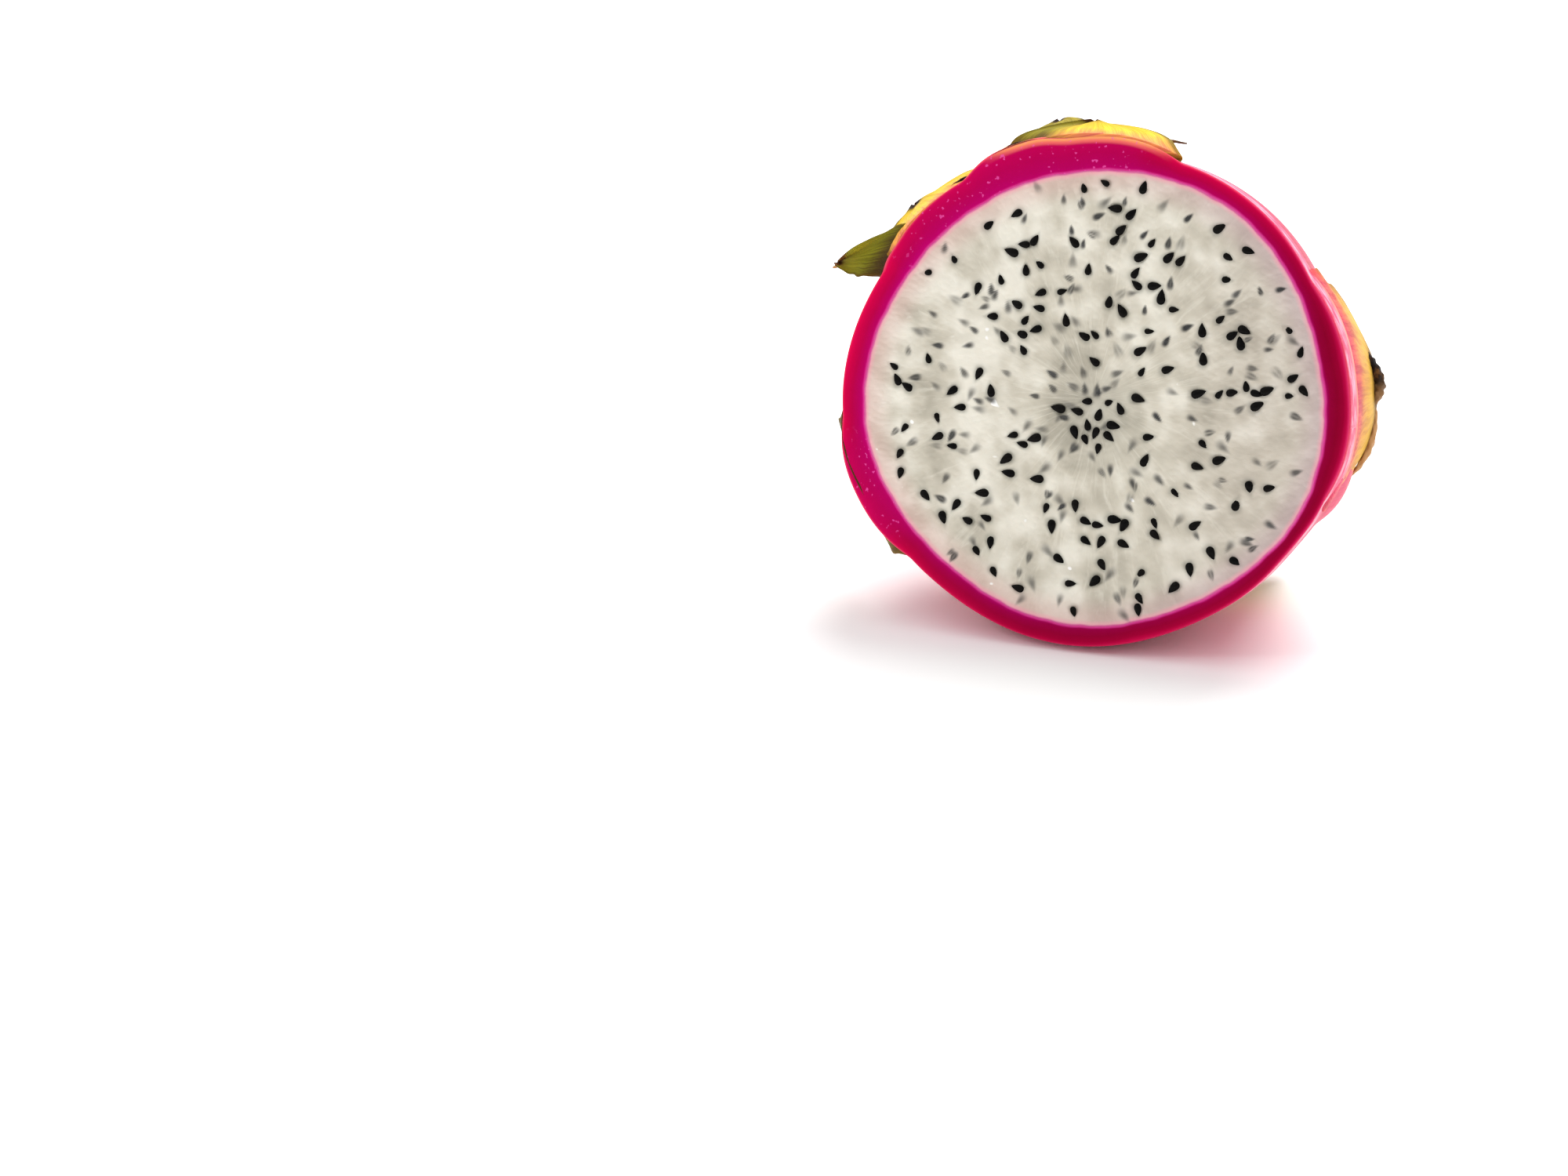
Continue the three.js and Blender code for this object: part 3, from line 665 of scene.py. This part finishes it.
class SeedMark:
    """The places of the face that one seed marks."""

    def __init__(self, u, v, seed_u, seed_v, turn, size, width_share=1.0):
        self.near = (np.abs(u - seed_u) < SEED_REACH) & (np.abs(v - seed_v) < SEED_REACH)
        du, dv = u[self.near] - seed_u, v[self.near] - seed_v
        c, s = cos(turn), sin(turn)
        x = (du * c + dv * s) / (SEEDS.length * size / 2)
        y = (-du * s + dv * c) / (width_share * SEEDS.width * size / 2)
        narrowing = 1 - POINTED[1] * np.clip(x, -1, 1.2)
        self.across = y  # from its middle line, in half widths
        self.out = np.hypot(x, y / np.maximum(narrowing, 0.3))  # 0 at its middle, 1 at its edge


def waves(u, v, rng, sizes):
    """Smooth random hills: a few waves for each size and height."""
    each, slower = 5, 2.3  # waves of each size, and how much longer their sideways swing is
    total = np.zeros_like(u)
    for size, height in sizes:
        for _ in range(each):
            direction, phase, bend = rng.uniform(0, 2 * pi, 3)
            wave = (u * cos(direction) + v * sin(direction)) * 2 * pi / size
            aside = (v * cos(direction) - u * sin(direction)) * 2 * pi / (slower * size)
            total += height / 2 * np.sin(wave + phase + np.sin(aside + bend))
    return total


def buried_seeds(u, v):
    """How dark the face is where seeds show through the pulp."""
    smallest, larger, slimmer = BURIED_SIZE
    crowding, clear = 0.6, 1.5  # exponent of their spread, least distance from a seed above
    shade = np.zeros_like(u)
    for count, darkness, blur, number in BURIED:
        draw = Draw(number)
        for _ in range(count):
            azimuth = 2 * pi * draw()
            radius = (FLESH_RADIUS - SEEDS.margin) * draw() ** crowding
            su, sv = radius * cos(azimuth), radius * sin(azimuth)
            turn = azimuth + rad(90) * (draw() + draw() - 1)
            size = smallest + larger * draw()
            split = 0.6 * draw() ** 2  # a pale line along its middle
            if any(hypot(su - b, sv - c) < clear for b, c, *_ in SEED_PLACES):
                continue
            mark = SeedMark(u, v, su, sv, turn, size, slimmer)
            dark = darkness * (1 - smooth(mark.out, 1 - blur, 1 + blur))
            dark *= 1 - split * hill(mark.across, 0.5)
            shade[mark.near] = np.maximum(shade[mark.near], dark)
    return shade


def build_flesh():
    """The cut face as a fine disc with a little relief, and the flesh behind it."""
    groove, groove_width, seed_shade_width = 0.16, 0.35, 0.55  # round a seed, the last for the painted shade
    # painted shade over the crowded core: its spread and darkness
    core_spread, core_shade = 6.0, 0.8
    clearer, clear_spread = 0.9, 13.0  # the pulp in the middle
    calm_edge = 1.2  # where the relief dies away by the rind
    x, y = disc_grid(FACE_SIDE)
    azimuth, share = np.arctan2(y, x), np.hypot(x, y)
    outline = flesh_outline(azimuth) + wobble(azimuth) + FACE_OVERLAP
    u, v = share * outline * np.cos(azimuth), share * outline * np.sin(azimuth)
    edge_mm = (1 - share) * outline
    rng = np.random.default_rng(PULP_DRAW)
    relief = waves(u, v, rng, RELIEF)
    cloud = waves(u, v, rng, CLOUDS)
    painted_seed_shade = np.zeros_like(u)
    for place in SEED_PLACES:
        mark = SeedMark(u, v, *place)
        relief[mark.near] -= groove * hill(mark.out - 1, groove_width)
        # painted shade round each seed
        ring = hill(np.maximum(mark.out - 1, 0), seed_shade_width)
        painted_seed_shade[mark.near] = np.maximum(painted_seed_shade[mark.near], ring)
    core = hill(np.hypot(u - SEEDS.core_u, v - SEEDS.core_v), core_spread)
    painted_seed_shade = np.maximum(painted_seed_shade, core_shade * core)
    # painted light and shade: the pulp lighter to the left and a little towards the top, darker to the
    # right
    cloud += 0.35 - 0.009 * u + 0.003 * v - clearer * hill(np.hypot(u, v), clear_spread)
    relief *= smooth(edge_mm, 0.0, calm_edge)
    face = to_world(np.stack((u, v, -relief), axis=-1)).reshape(-1, 3)

    index = np.arange(FACE_SIDE * FACE_SIDE).reshape(FACE_SIDE, FACE_SIDE)
    quads = np.stack((index[:-1, :-1], index[:-1, 1:], index[1:, 1:], index[1:, :-1]), axis=-1)
    rim = np.concatenate((index[0, :-1], index[:-1, -1], index[-1, :0:-1], index[:0:-1, 0]))
    rim_azimuth = azimuth.reshape(-1)[rim]
    rows = [to_world(inner_points(rim_azimuth, latitude, BACK_CLEARANCE))
            for latitude in np.linspace(0.06, pi / 2 * 0.96, BACK_ROWS)]
    tip = to_world(inner_points(np.zeros(1), pi / 2, BACK_CLEARANCE))
    points = np.concatenate((face, *rows, tip))
    count, columns = len(face), len(rim)
    i = np.arange(columns)
    j = (i + 1) % columns
    join = np.stack((rim[i], count + i, count + j, rim[j]), axis=-1)
    back = ring_faces(len(rows), columns, count)
    last_row = count + (len(rows) - 1) * columns
    fan = fan_faces(last_row, columns, len(points) - 1, closing=True)
    behind = np.zeros(len(points) - count)
    notes = {"edge_mm": edge_mm, "shade": buried_seeds(u, v), "painted_seed_shade": painted_seed_shade, "cloud": cloud,
             "face_u": u, "face_v": v}
    values = {key: np.concatenate((value.reshape(-1), behind)) for key, value in notes.items()}
    return mesh_object("flesh_body", points, [quads.reshape(-1, 4), join, back, fan], values)


# ---- Seeds ----
def seed_surfaces():
    """Teardrops whose rows run from the point to the blunt end."""
    polar = np.linspace(0, pi, SEED_ROWS + 1)[1:-1][:, None]
    turn = full_turn(SEED_AROUND)
    size_at = np.sin(polar) * (1 - POINTED[0] * np.cos(polar))
    shape = np.stack((np.cos(polar) + 0 * turn, size_at * np.cos(turn), size_at * np.sin(turn)), axis=-1)
    ends = np.array(((SEED_POINT, 0, 0), (-1.0, 0, 0)))
    sunk, uneven = SEED_SUNK
    draw = Draw(SEED_TURN_DRAW)
    surfaces = []
    for u, v, turn, size in SEED_PLACES:
        dip = rad(draw.spread(SEED_DIP))
        depth = sunk + draw.spread(uneven)
        half = np.array((SEEDS.length / 2, SEEDS.width / 2, SEED_HALF_HEIGHT)) * size

        def placed(points):
            x, y, z = np.moveaxis(points * half, -1, 0)
            x, z = x * cos(dip) - z * sin(dip), x * sin(dip) + z * cos(dip)
            c, s = cos(turn), sin(turn)
            return to_world(np.stack((u + x * c - y * s, v + x * s + y * c, depth - z), axis=-1))

        surfaces.append((placed(shape), placed(ends), {"tone": draw()}))
    return surfaces


# ---- Colours, as the eye reads them, 0 to 255; in a ramp each comes after its place ----
ROOT_PINK = (206, 16, 76)
GOLDEN = (
    (0.0, ROOT_PINK), (0.32, (220, 48, 96)), (0.46, (236, 112, 96)), (0.56, (240, 160, 80)),
    (0.7, (240, 198, 50)), (0.88, (222, 184, 40)), (1.0, (150, 124, 36)),
)
GREEN = (
    (0.0, ROOT_PINK), (0.36, (190, 70, 60)), (0.48, (120, 84, 30)), (0.6, (104, 90, 22)),
    (0.74, (126, 122, 24)), (0.9, (132, 124, 34)), (1.0, (110, 88, 40)),
)
MARGIN = (
    (0.0, ROOT_PINK), (0.4, (206, 60, 60)), (0.54, (150, 112, 26)), (0.75, (92, 84, 16)),
    (1.0, (66, 50, 16)),
)
SCALE_FADED = (228, 160, 96)
SCALE_BROWN_AND_SHADE = (56, 34, 12)
SCALE_UNDER = (96, 76, 22)
SCALE_BARK = ((0.4, (34, 18, 10)), (0.62, (70, 42, 22)), (0.75, (140, 100, 58)))
TIP_BARK = ((0.38, (16, 8, 5)), (0.54, (44, 24, 10)), (0.7, (112, 72, 32)))
TIP_TAN = (186, 140, 92)
# the cut rind in painted light, and below it the same in painted shade
CUT_PAINTED_LIT = (
    (0.0, (190, 0, 112)), (0.2, (180, 0, 90)), (0.5, (184, 0, 70)), (0.75, (200, 0, 68)),
    (1.0, (224, 4, 76)),
)
CUT_PAINTED_SHADE = (
    (0.0, (160, 0, 90)), (0.2, (140, 0, 50)), (0.5, (134, 0, 40)), (0.75, (148, 0, 46)),
    (1.0, (196, 10, 72)),
)
CUT_THICK = (182, 0, 92)
CUT_GLOW = (222, 66, 148)
CUT_EDGES = ((220, 60, 120), (232, 60, 88))  # on its side in painted shade and its side in painted light
CUT_PEACH = (236, 104, 100)
CUT_YELLOW = (248, 158, 100)
CUT_SPECK = (240, 90, 180)
SKIN = ((0.35, (176, 4, 58)), (0.48, (196, 12, 74)), (0.58, (206, 40, 92)), (0.7, (218, 96, 124)))
SKIN_BAND = (228, 44, 112)
SKIN_PAINTED_HIGHLIGHT = (246, 190, 208)
SKIN_EDGE = (224, 60, 108)
SKIN_BARK = ((0.3, (96, 66, 36)), (0.7, (168, 140, 84)))
PULP = ((0.0, (176, 169, 152)), (0.5, (203, 196, 179)), (1.0, (230, 225, 211)))
PULP_FIBRE = (228, 223, 208)
PULP_SEED_SHADE = (128, 128, 112)
PULP_SHADED = (176, 160, 150)
PULP_PINKS = ((212, 168, 160), (180, 150, 158))  # on its left side, and darker in painted shade on its right side
PULP_EDGE = (238, 158, 172)
PULP_LINE = (214, 56, 144)
PULP_GLINT = (250, 248, 244)
PULP_BURIED = (12, 12, 12)
SEED_BLACK = ((0.2, (3, 3, 3)), (0.8, (14, 12, 10)))


def srgb(colour):
    """The linear values of a colour given as the eye reads it."""
    shares = [value / 255 for value in colour]
    return (*(x / 12.92 if x <= 0.04045 else ((x + 0.055) / 1.055) ** 2.4 for x in shares), 1.0)


# ---- Materials: each call adds to the one started last ----
def start_material(name):
    global material
    material = bpy.data.materials.new(name)
    material.use_nodes = True


def put(socket, value):
    """Lead another output to a socket, or set it to a number or a colour."""
    if isinstance(value, bpy.types.NodeSocket):
        material.node_tree.links.new(value, socket)
    else:
        socket.default_value = srgb(value) if isinstance(value, tuple) else value


def set_values(node, **values):
    for key, value in values.items():
        node.inputs[key].default_value = value


def add_node(kind, inputs=(), **settings):
    node = material.node_tree.nodes.new("ShaderNode" + kind)
    for key, value in settings.items():
        setattr(node, key, value)
    for socket, value in zip(node.inputs, inputs):
        put(socket, value)
    return node


def note(name):
    return add_node("Attribute", attribute_name=name).outputs["Fac"]


def result(operation, a, b=0.0):
    return add_node("Math", (a, b), operation=operation).outputs[0]


def plus(a, b):
    return result("ADD", a, b)


def times(a, b):
    return result("MULTIPLY", a, b)


def swing(value, size):
    """A value from 0 to 1, made to swing about 0."""
    return times(result("SUBTRACT", value, 0.5), size)


def rise(value, low, high, to_low=0.0, to_high=1.0, kind="SMOOTHSTEP"):
    """From to_low where the value is low to to_high where it is high."""
    inputs = (value, low, high, to_low, to_high)
    return add_node("MapRange", inputs, interpolation_type=kind).outputs[0]


def fall(value, low, high, most=1.0):
    return rise(value, low, high, most, 0.0)


def combine(x, y, z=0.0):
    return add_node("CombineXYZ", (x, y, z)).outputs[0]


def mix(share, a, b, blend="MIX"):
    node = add_node("Mix", (share,), data_type="RGBA", blend_type=blend)
    put(node.inputs[6], a)
    put(node.inputs[7], b)
    return node.outputs[2]


def coat(base, *coats):
    """A colour with others over it, each after its share."""
    for share, colour in coats:
        base = mix(share, base, colour)
    return base


def ramp(value, stops):
    node = add_node("ValToRGB", (value,))
    elements = node.color_ramp.elements
    while len(elements) < len(stops):
        elements.new(0.5)
    for element, (place, colour) in zip(elements, stops):
        element.position = place
        element.color = srgb(colour)
    return node.outputs[0]


def noise(scale, detail=2.0, roughness=0.5, vector=None, distortion=0.0):
    node = add_node("TexNoise", (vector or add_node("TexCoord").outputs["Object"],))
    set_values(node, Scale=scale, Detail=detail, Roughness=roughness, Distortion=distortion)
    return node.outputs["Fac"]


def surface(settings, colour=None, height=None, bump=(0.0, 0.0)):
    """Set up the shader, with a bump's strength and distance, and give the material."""
    shader = material.node_tree.nodes["Principled BSDF"]
    set_values(shader, **settings)
    if colour:
        put(shader.inputs["Base Color"], colour)
    if height:
        node = add_node("Bump")
        set_values(node, Strength=bump[0], Distance=bump[1])
        put(node.inputs["Height"], height)
        put(shader.inputs["Normal"], node.outputs["Normal"])
    return material


def scale_colour(place, t, olive):
    """Pink at the root, then salmon, golden yellow or olive green, with thin olive margins."""
    body = mix(olive, ramp(place, GOLDEN), ramp(place, GREEN))
    return mix(rise(result("ABSOLUTE", t), 0.84, 0.99), body, ramp(place, MARGIN))


def cut_material():
    """The cut rind: crimson, magenta by the flesh and hot red by the skin, lighter in painted light on the
    upper left and darker in painted shade on the lower right.
    """
    start_material("rind_cut")
    inside, outside = note("inside_mm"), note("outside_mm")
    bright, gold = note("bright"), note("gold")
    thickness = plus(inside, outside)
    place = plus(result("DIVIDE", inside, thickness), swing(noise(70), 0.35))
    thick = rise(thickness, 4.4, 5.8)
    specks = times(rise(noise(1300, 1), 0.66, 0.73), thick)
    colour = coat(
        # painted light and shade: lit and shaded copies of the rind's colours mixed round it
        mix(bright, ramp(place, CUT_PAINTED_SHADE), ramp(place, CUT_PAINTED_LIT)),
        (times(thick, 0.5), CUT_THICK),
        (fall(inside, 0.0, 0.5), CUT_GLOW),
        (times(fall(outside, 0.0, 0.45), rise(bright, 0.2, 0.8, 0.4, 0.8)), mix(bright, *CUT_EDGES)),
        (times(gold, fall(outside, 0.7, 1.4)), CUT_PEACH),
        (times(gold, fall(outside, 0.2, 0.8)), CUT_YELLOW),
        (times(specks, 0.6), CUT_SPECK),
    )
    return surface({
        "Roughness": 0.55, "Specular IOR Level": 0.02, "Subsurface Weight": 0.1,
        "Subsurface Radius": (1.0, 0.1, 0.3), "Subsurface Scale": 0.001,
    }, colour, noise(420, 3), (0.25, 0.0003))


def skin_material():
    """Hot pink, striped along the fruit, with pale streaks of painted highlight by the cut, and barky
    round the scar.
    """
    start_material("rind_skin")
    outside, azimuth = note("outside_mm"), note("azimuth")
    fine = noise(420, 3)
    stripes = noise(1.0, 3, 0.6, combine(times(azimuth, 70.0), times(outside, 0.12)))
    # streaks for the painted highlight by the cut
    highlight_streaks = noise(1.0, 3, 0.6, combine(times(azimuth, 9.0), times(outside, 0.9)))
    leaf = scale_colour(note("leaf_s"), note("leaf_t"), 0.0)
    band = times(rise(outside, 0.8, 2.0), fall(outside, 3.0, 6.5))
    colour = coat(
        ramp(plus(times(noise(45), 0.5), times(stripes, 0.5)), SKIN),
        (times(note("leaf"), 0.85), leaf),
        (times(band, 0.7), SKIN_BAND),
        # painted highlight: pale sheen in the band by the cut
        (times(band, rise(highlight_streaks, 0.4, 0.64, 0.1, 0.75)), SKIN_PAINTED_HIGHLIGHT),
        (fall(outside, 0.0, 1.2, 0.6), SKIN_EDGE),
        (note("scar"), ramp(fine, SKIN_BARK)),
    )
    return surface({
        "Roughness": 0.4, "Specular IOR Level": 0.06, "Subsurface Weight": 0.08,
        "Subsurface Radius": (1.0, 0.3, 0.4), "Subsurface Scale": 0.0025, "Coat Weight": 0.06,
        "Coat Roughness": 0.25,
    }, colour, plus(times(stripes, 0.8), times(fine, 0.5)), (0.35, 0.0005))


def scales_material():
    """Thin waxy blades with fine ribs along them, and brown where they have dried."""
    start_material("scales")
    place, t, olive = note("leaf_s"), note("leaf_t"), note("olive")
    vector = combine(times(place, 3.0), times(t, 20.0), times(note("leaf_id"), 40.0))
    streak = noise(1.0, 3, 0.6, vector)
    patches = noise(150)
    shifted = plus(place, plus(swing(streak, 0.2), swing(patches, 0.12)))
    rib = rise(streak, 0.35, 0.65, 0.8, 1.08)
    colour = coat(
        mix(1.0, scale_colour(shifted, t, olive), combine(rib, rib, rib), "MULTIPLY"),
        (times(note("faded"), rise(shifted, 0.42, 0.66, 0.0, 0.42)), SCALE_FADED),
        # dark brown by the root of olive scales, where they meet the rim: partly their own brown, partly
        # painted shade
        (times(rise(olive, 0.7, 0.95), fall(shifted, 0.5, 0.82, 0.9)), SCALE_BROWN_AND_SHADE),
        (times(note("under"), 0.5), SCALE_UNDER),
        (note("dry"), ramp(patches, SCALE_BARK)),
    )
    return surface({
        "Roughness": 0.45, "Specular IOR Level": 0.06, "Subsurface Weight": 0.12,
        "Subsurface Radius": (1.0, 0.7, 0.25), "Subsurface Scale": 0.0025,
    }, colour, plus(times(streak, 1.2), times(noise(380, 3), 0.4)), (0.5, 0.0005))


def dry_material():
    """Withered brown, and tan where the scale's tissue is left."""
    start_material("dry_tips")
    patches = noise(520, 3, 0.6)
    colour = mix(note("tan"), ramp(patches, TIP_BARK), TIP_TAN)
    return surface({"Roughness": 0.5, "Specular IOR Level": 0.1}, colour, patches, (0.6, 0.0004))


def flesh_material():
    """Moist, milky pulp: cloudy, with pale fibres, pink by the rind, painted shade round the seeds and
    towards the right, and painted white glints.
    """
    start_material("flesh")
    edge, u, v = note("edge_mm"), note("face_u"), note("face_v")
    radius = result("SQRT", plus(times(u, u), times(v, v)))
    turn = times(result("ARCTAN2", v, u), 20.0)
    bent = plus(turn, times(noise(60), 2.5))
    fibre = noise(1.0, 4, 0.65, combine(bent, times(radius, 0.14)), 0.4)
    mottle = noise(260, 3, 0.55)
    cloud = plus(note("cloud"), swing(mottle, 1.2))
    colour = coat(
        ramp(rise(cloud, -1.2, 1.2, kind="LINEAR"), PULP),
        (times(rise(fibre, 0.48, 0.72), 0.45), PULP_FIBRE),
        # painted shade round the seeds and over the core
        (times(note("painted_seed_shade"), 0.4), PULP_SEED_SHADE),
        # painted shade: greyer towards the right, and the pink by the rind darker there
        (rise(u, 8.0, 34.0, 0.0, 0.3), PULP_SHADED),
        (fall(edge, 0.3, 6.0, 0.55), mix(rise(u, -10.0, 36.0), *PULP_PINKS)),
        (fall(edge, 0.2, 1.3, 0.75), PULP_EDGE),
        (fall(plus(edge, times(mottle, -0.4)), -0.1, 0.3, 0.9), PULP_LINE),
        # painted glints: tiny white specks in the colour
        (rise(noise(330, 1), 0.77, 0.8), PULP_GLINT),
        (note("shade"), PULP_BURIED),
    )
    return surface({
        "Roughness": 0.35, "Subsurface Weight": 0.25, "Subsurface Radius": (1.0, 0.85, 0.75),
        "Subsurface Scale": 0.0012, "Coat Weight": 0.3, "Coat Roughness": 0.15,
    }, colour, plus(times(fibre, 0.8), times(noise(700, 3, 0.6), 0.5)), (0.4, 0.0004))


def seeds_material():
    start_material("seeds")
    grain = noise(1500)
    colour = ramp(times(plus(note("tone"), grain), 0.5), SEED_BLACK)
    return surface({"Roughness": 0.3, "Specular IOR Level": 0.06}, colour, grain, (0.3, 0.0001))


# ---- Camera ----
def add_camera():
    """Looks at the cut face and puts its middle at a chosen pixel."""
    picture = (2000, 1500)
    face_pixel = (1395, 509)
    sensor, lens = 36.0, 101.0
    distance = 0.75
    side, height = rad(16), rad(17)
    pixel = sensor / picture[0]
    across, down = face_pixel[0] - picture[0] / 2, face_pixel[1] - picture[1] / 2
    ray = Vector((across * pixel, -down * pixel, lens)).normalized()
    pitch = atan2(ray.y, ray.z) + asin(sin(height) / hypot(ray.y, ray.z))
    heading = side + atan2(ray.x, ray.z * cos(pitch) + ray.y * sin(pitch))
    data = bpy.data.cameras.new("camera")
    data.sensor_width = sensor
    data.lens = lens
    data.clip_start = 0.01
    camera = bpy.data.objects.new("camera", data)
    level = distance * cos(height)
    back = Vector((level * sin(side), -level * cos(side), distance * sin(height)))
    camera.location = Vector(FACE_CENTRE) * MM + back
    camera.rotation_euler = (pi / 2 - pitch, 0, heading)
    bpy.context.scene.collection.objects.link(camera)
    bpy.context.scene.camera = camera


# ---- Light and floor, in metres and watts ----
LIGHTS = (  # name, place, size, power
    ("key_behind", (0.1, 0.65, 0.95), 0.9, 15),
    ("softbox_above", (-0.1, 0.1, 1.25), 1.4, 2),
    ("glint_front", (-0.75, -0.8, 0.85), 0.25, 1.5),
)
LIT_PLACE = (0, 0, 0.045)
SKY_STRENGTH = 0.8
FLOOR_HALF = 6


def add_studio():
    world = bpy.data.worlds.new("studio")
    world.use_nodes = True
    set_values(world.node_tree.nodes["Background"], Color=(1, 1, 1, 1), Strength=SKY_STRENGTH)
    bpy.context.scene.world = world
    bpy.context.scene.view_settings.view_transform = "Standard"
    for name, place, size, power in LIGHTS:
        data = bpy.data.lights.new(name, "AREA")
        data.shape = "DISK"
        data.size = size
        data.energy = power
        light = bpy.data.objects.new(name, data)
        light.location = place
        aim = Vector(LIT_PLACE) - Vector(place)
        light.rotation_euler = aim.to_track_quat("-Z", "Y").to_euler()
        bpy.context.scene.collection.objects.link(light)
    corners = np.array(((-1, -1, 0), (1, -1, 0), (1, 1, 0), (-1, 1, 0))) * FLOOR_HALF
    floor = mesh_object("floor", corners / MM, [np.array([[0, 1, 2, 3]])])
    start_material("floor")
    pale = {"Base Color": (0.96, 0.96, 0.96, 1.0), "Roughness": 0.9, "Specular IOR Level": 0.0}
    floor.data.materials.append(surface(pale))


# ---- Putting it together ----
add_camera()
rind = build_rind()
scales = closed_mesh("scales", [build_scale(i, scale) for i, scale in enumerate(SCALES)])
dry_tips = closed_mesh("dry_tips", [build_dry_tip(i, *tip) for i, tip in enumerate(DRY_TIPS)])
flesh = build_flesh()
seeds = closed_mesh("seeds", seed_surfaces())
for piece, finish in (
    (rind, skin_material), (rind, cut_material), (scales, scales_material),
    (dry_tips, dry_material), (flesh, flesh_material), (seeds, seeds_material),
):
    piece.data.materials.append(finish())

for piece in (rind, scales, dry_tips):
    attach(piece, "root")
    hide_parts("peel")
for piece in (flesh, seeds):
    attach(piece, "root")
    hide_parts("flesh")

add_studio()
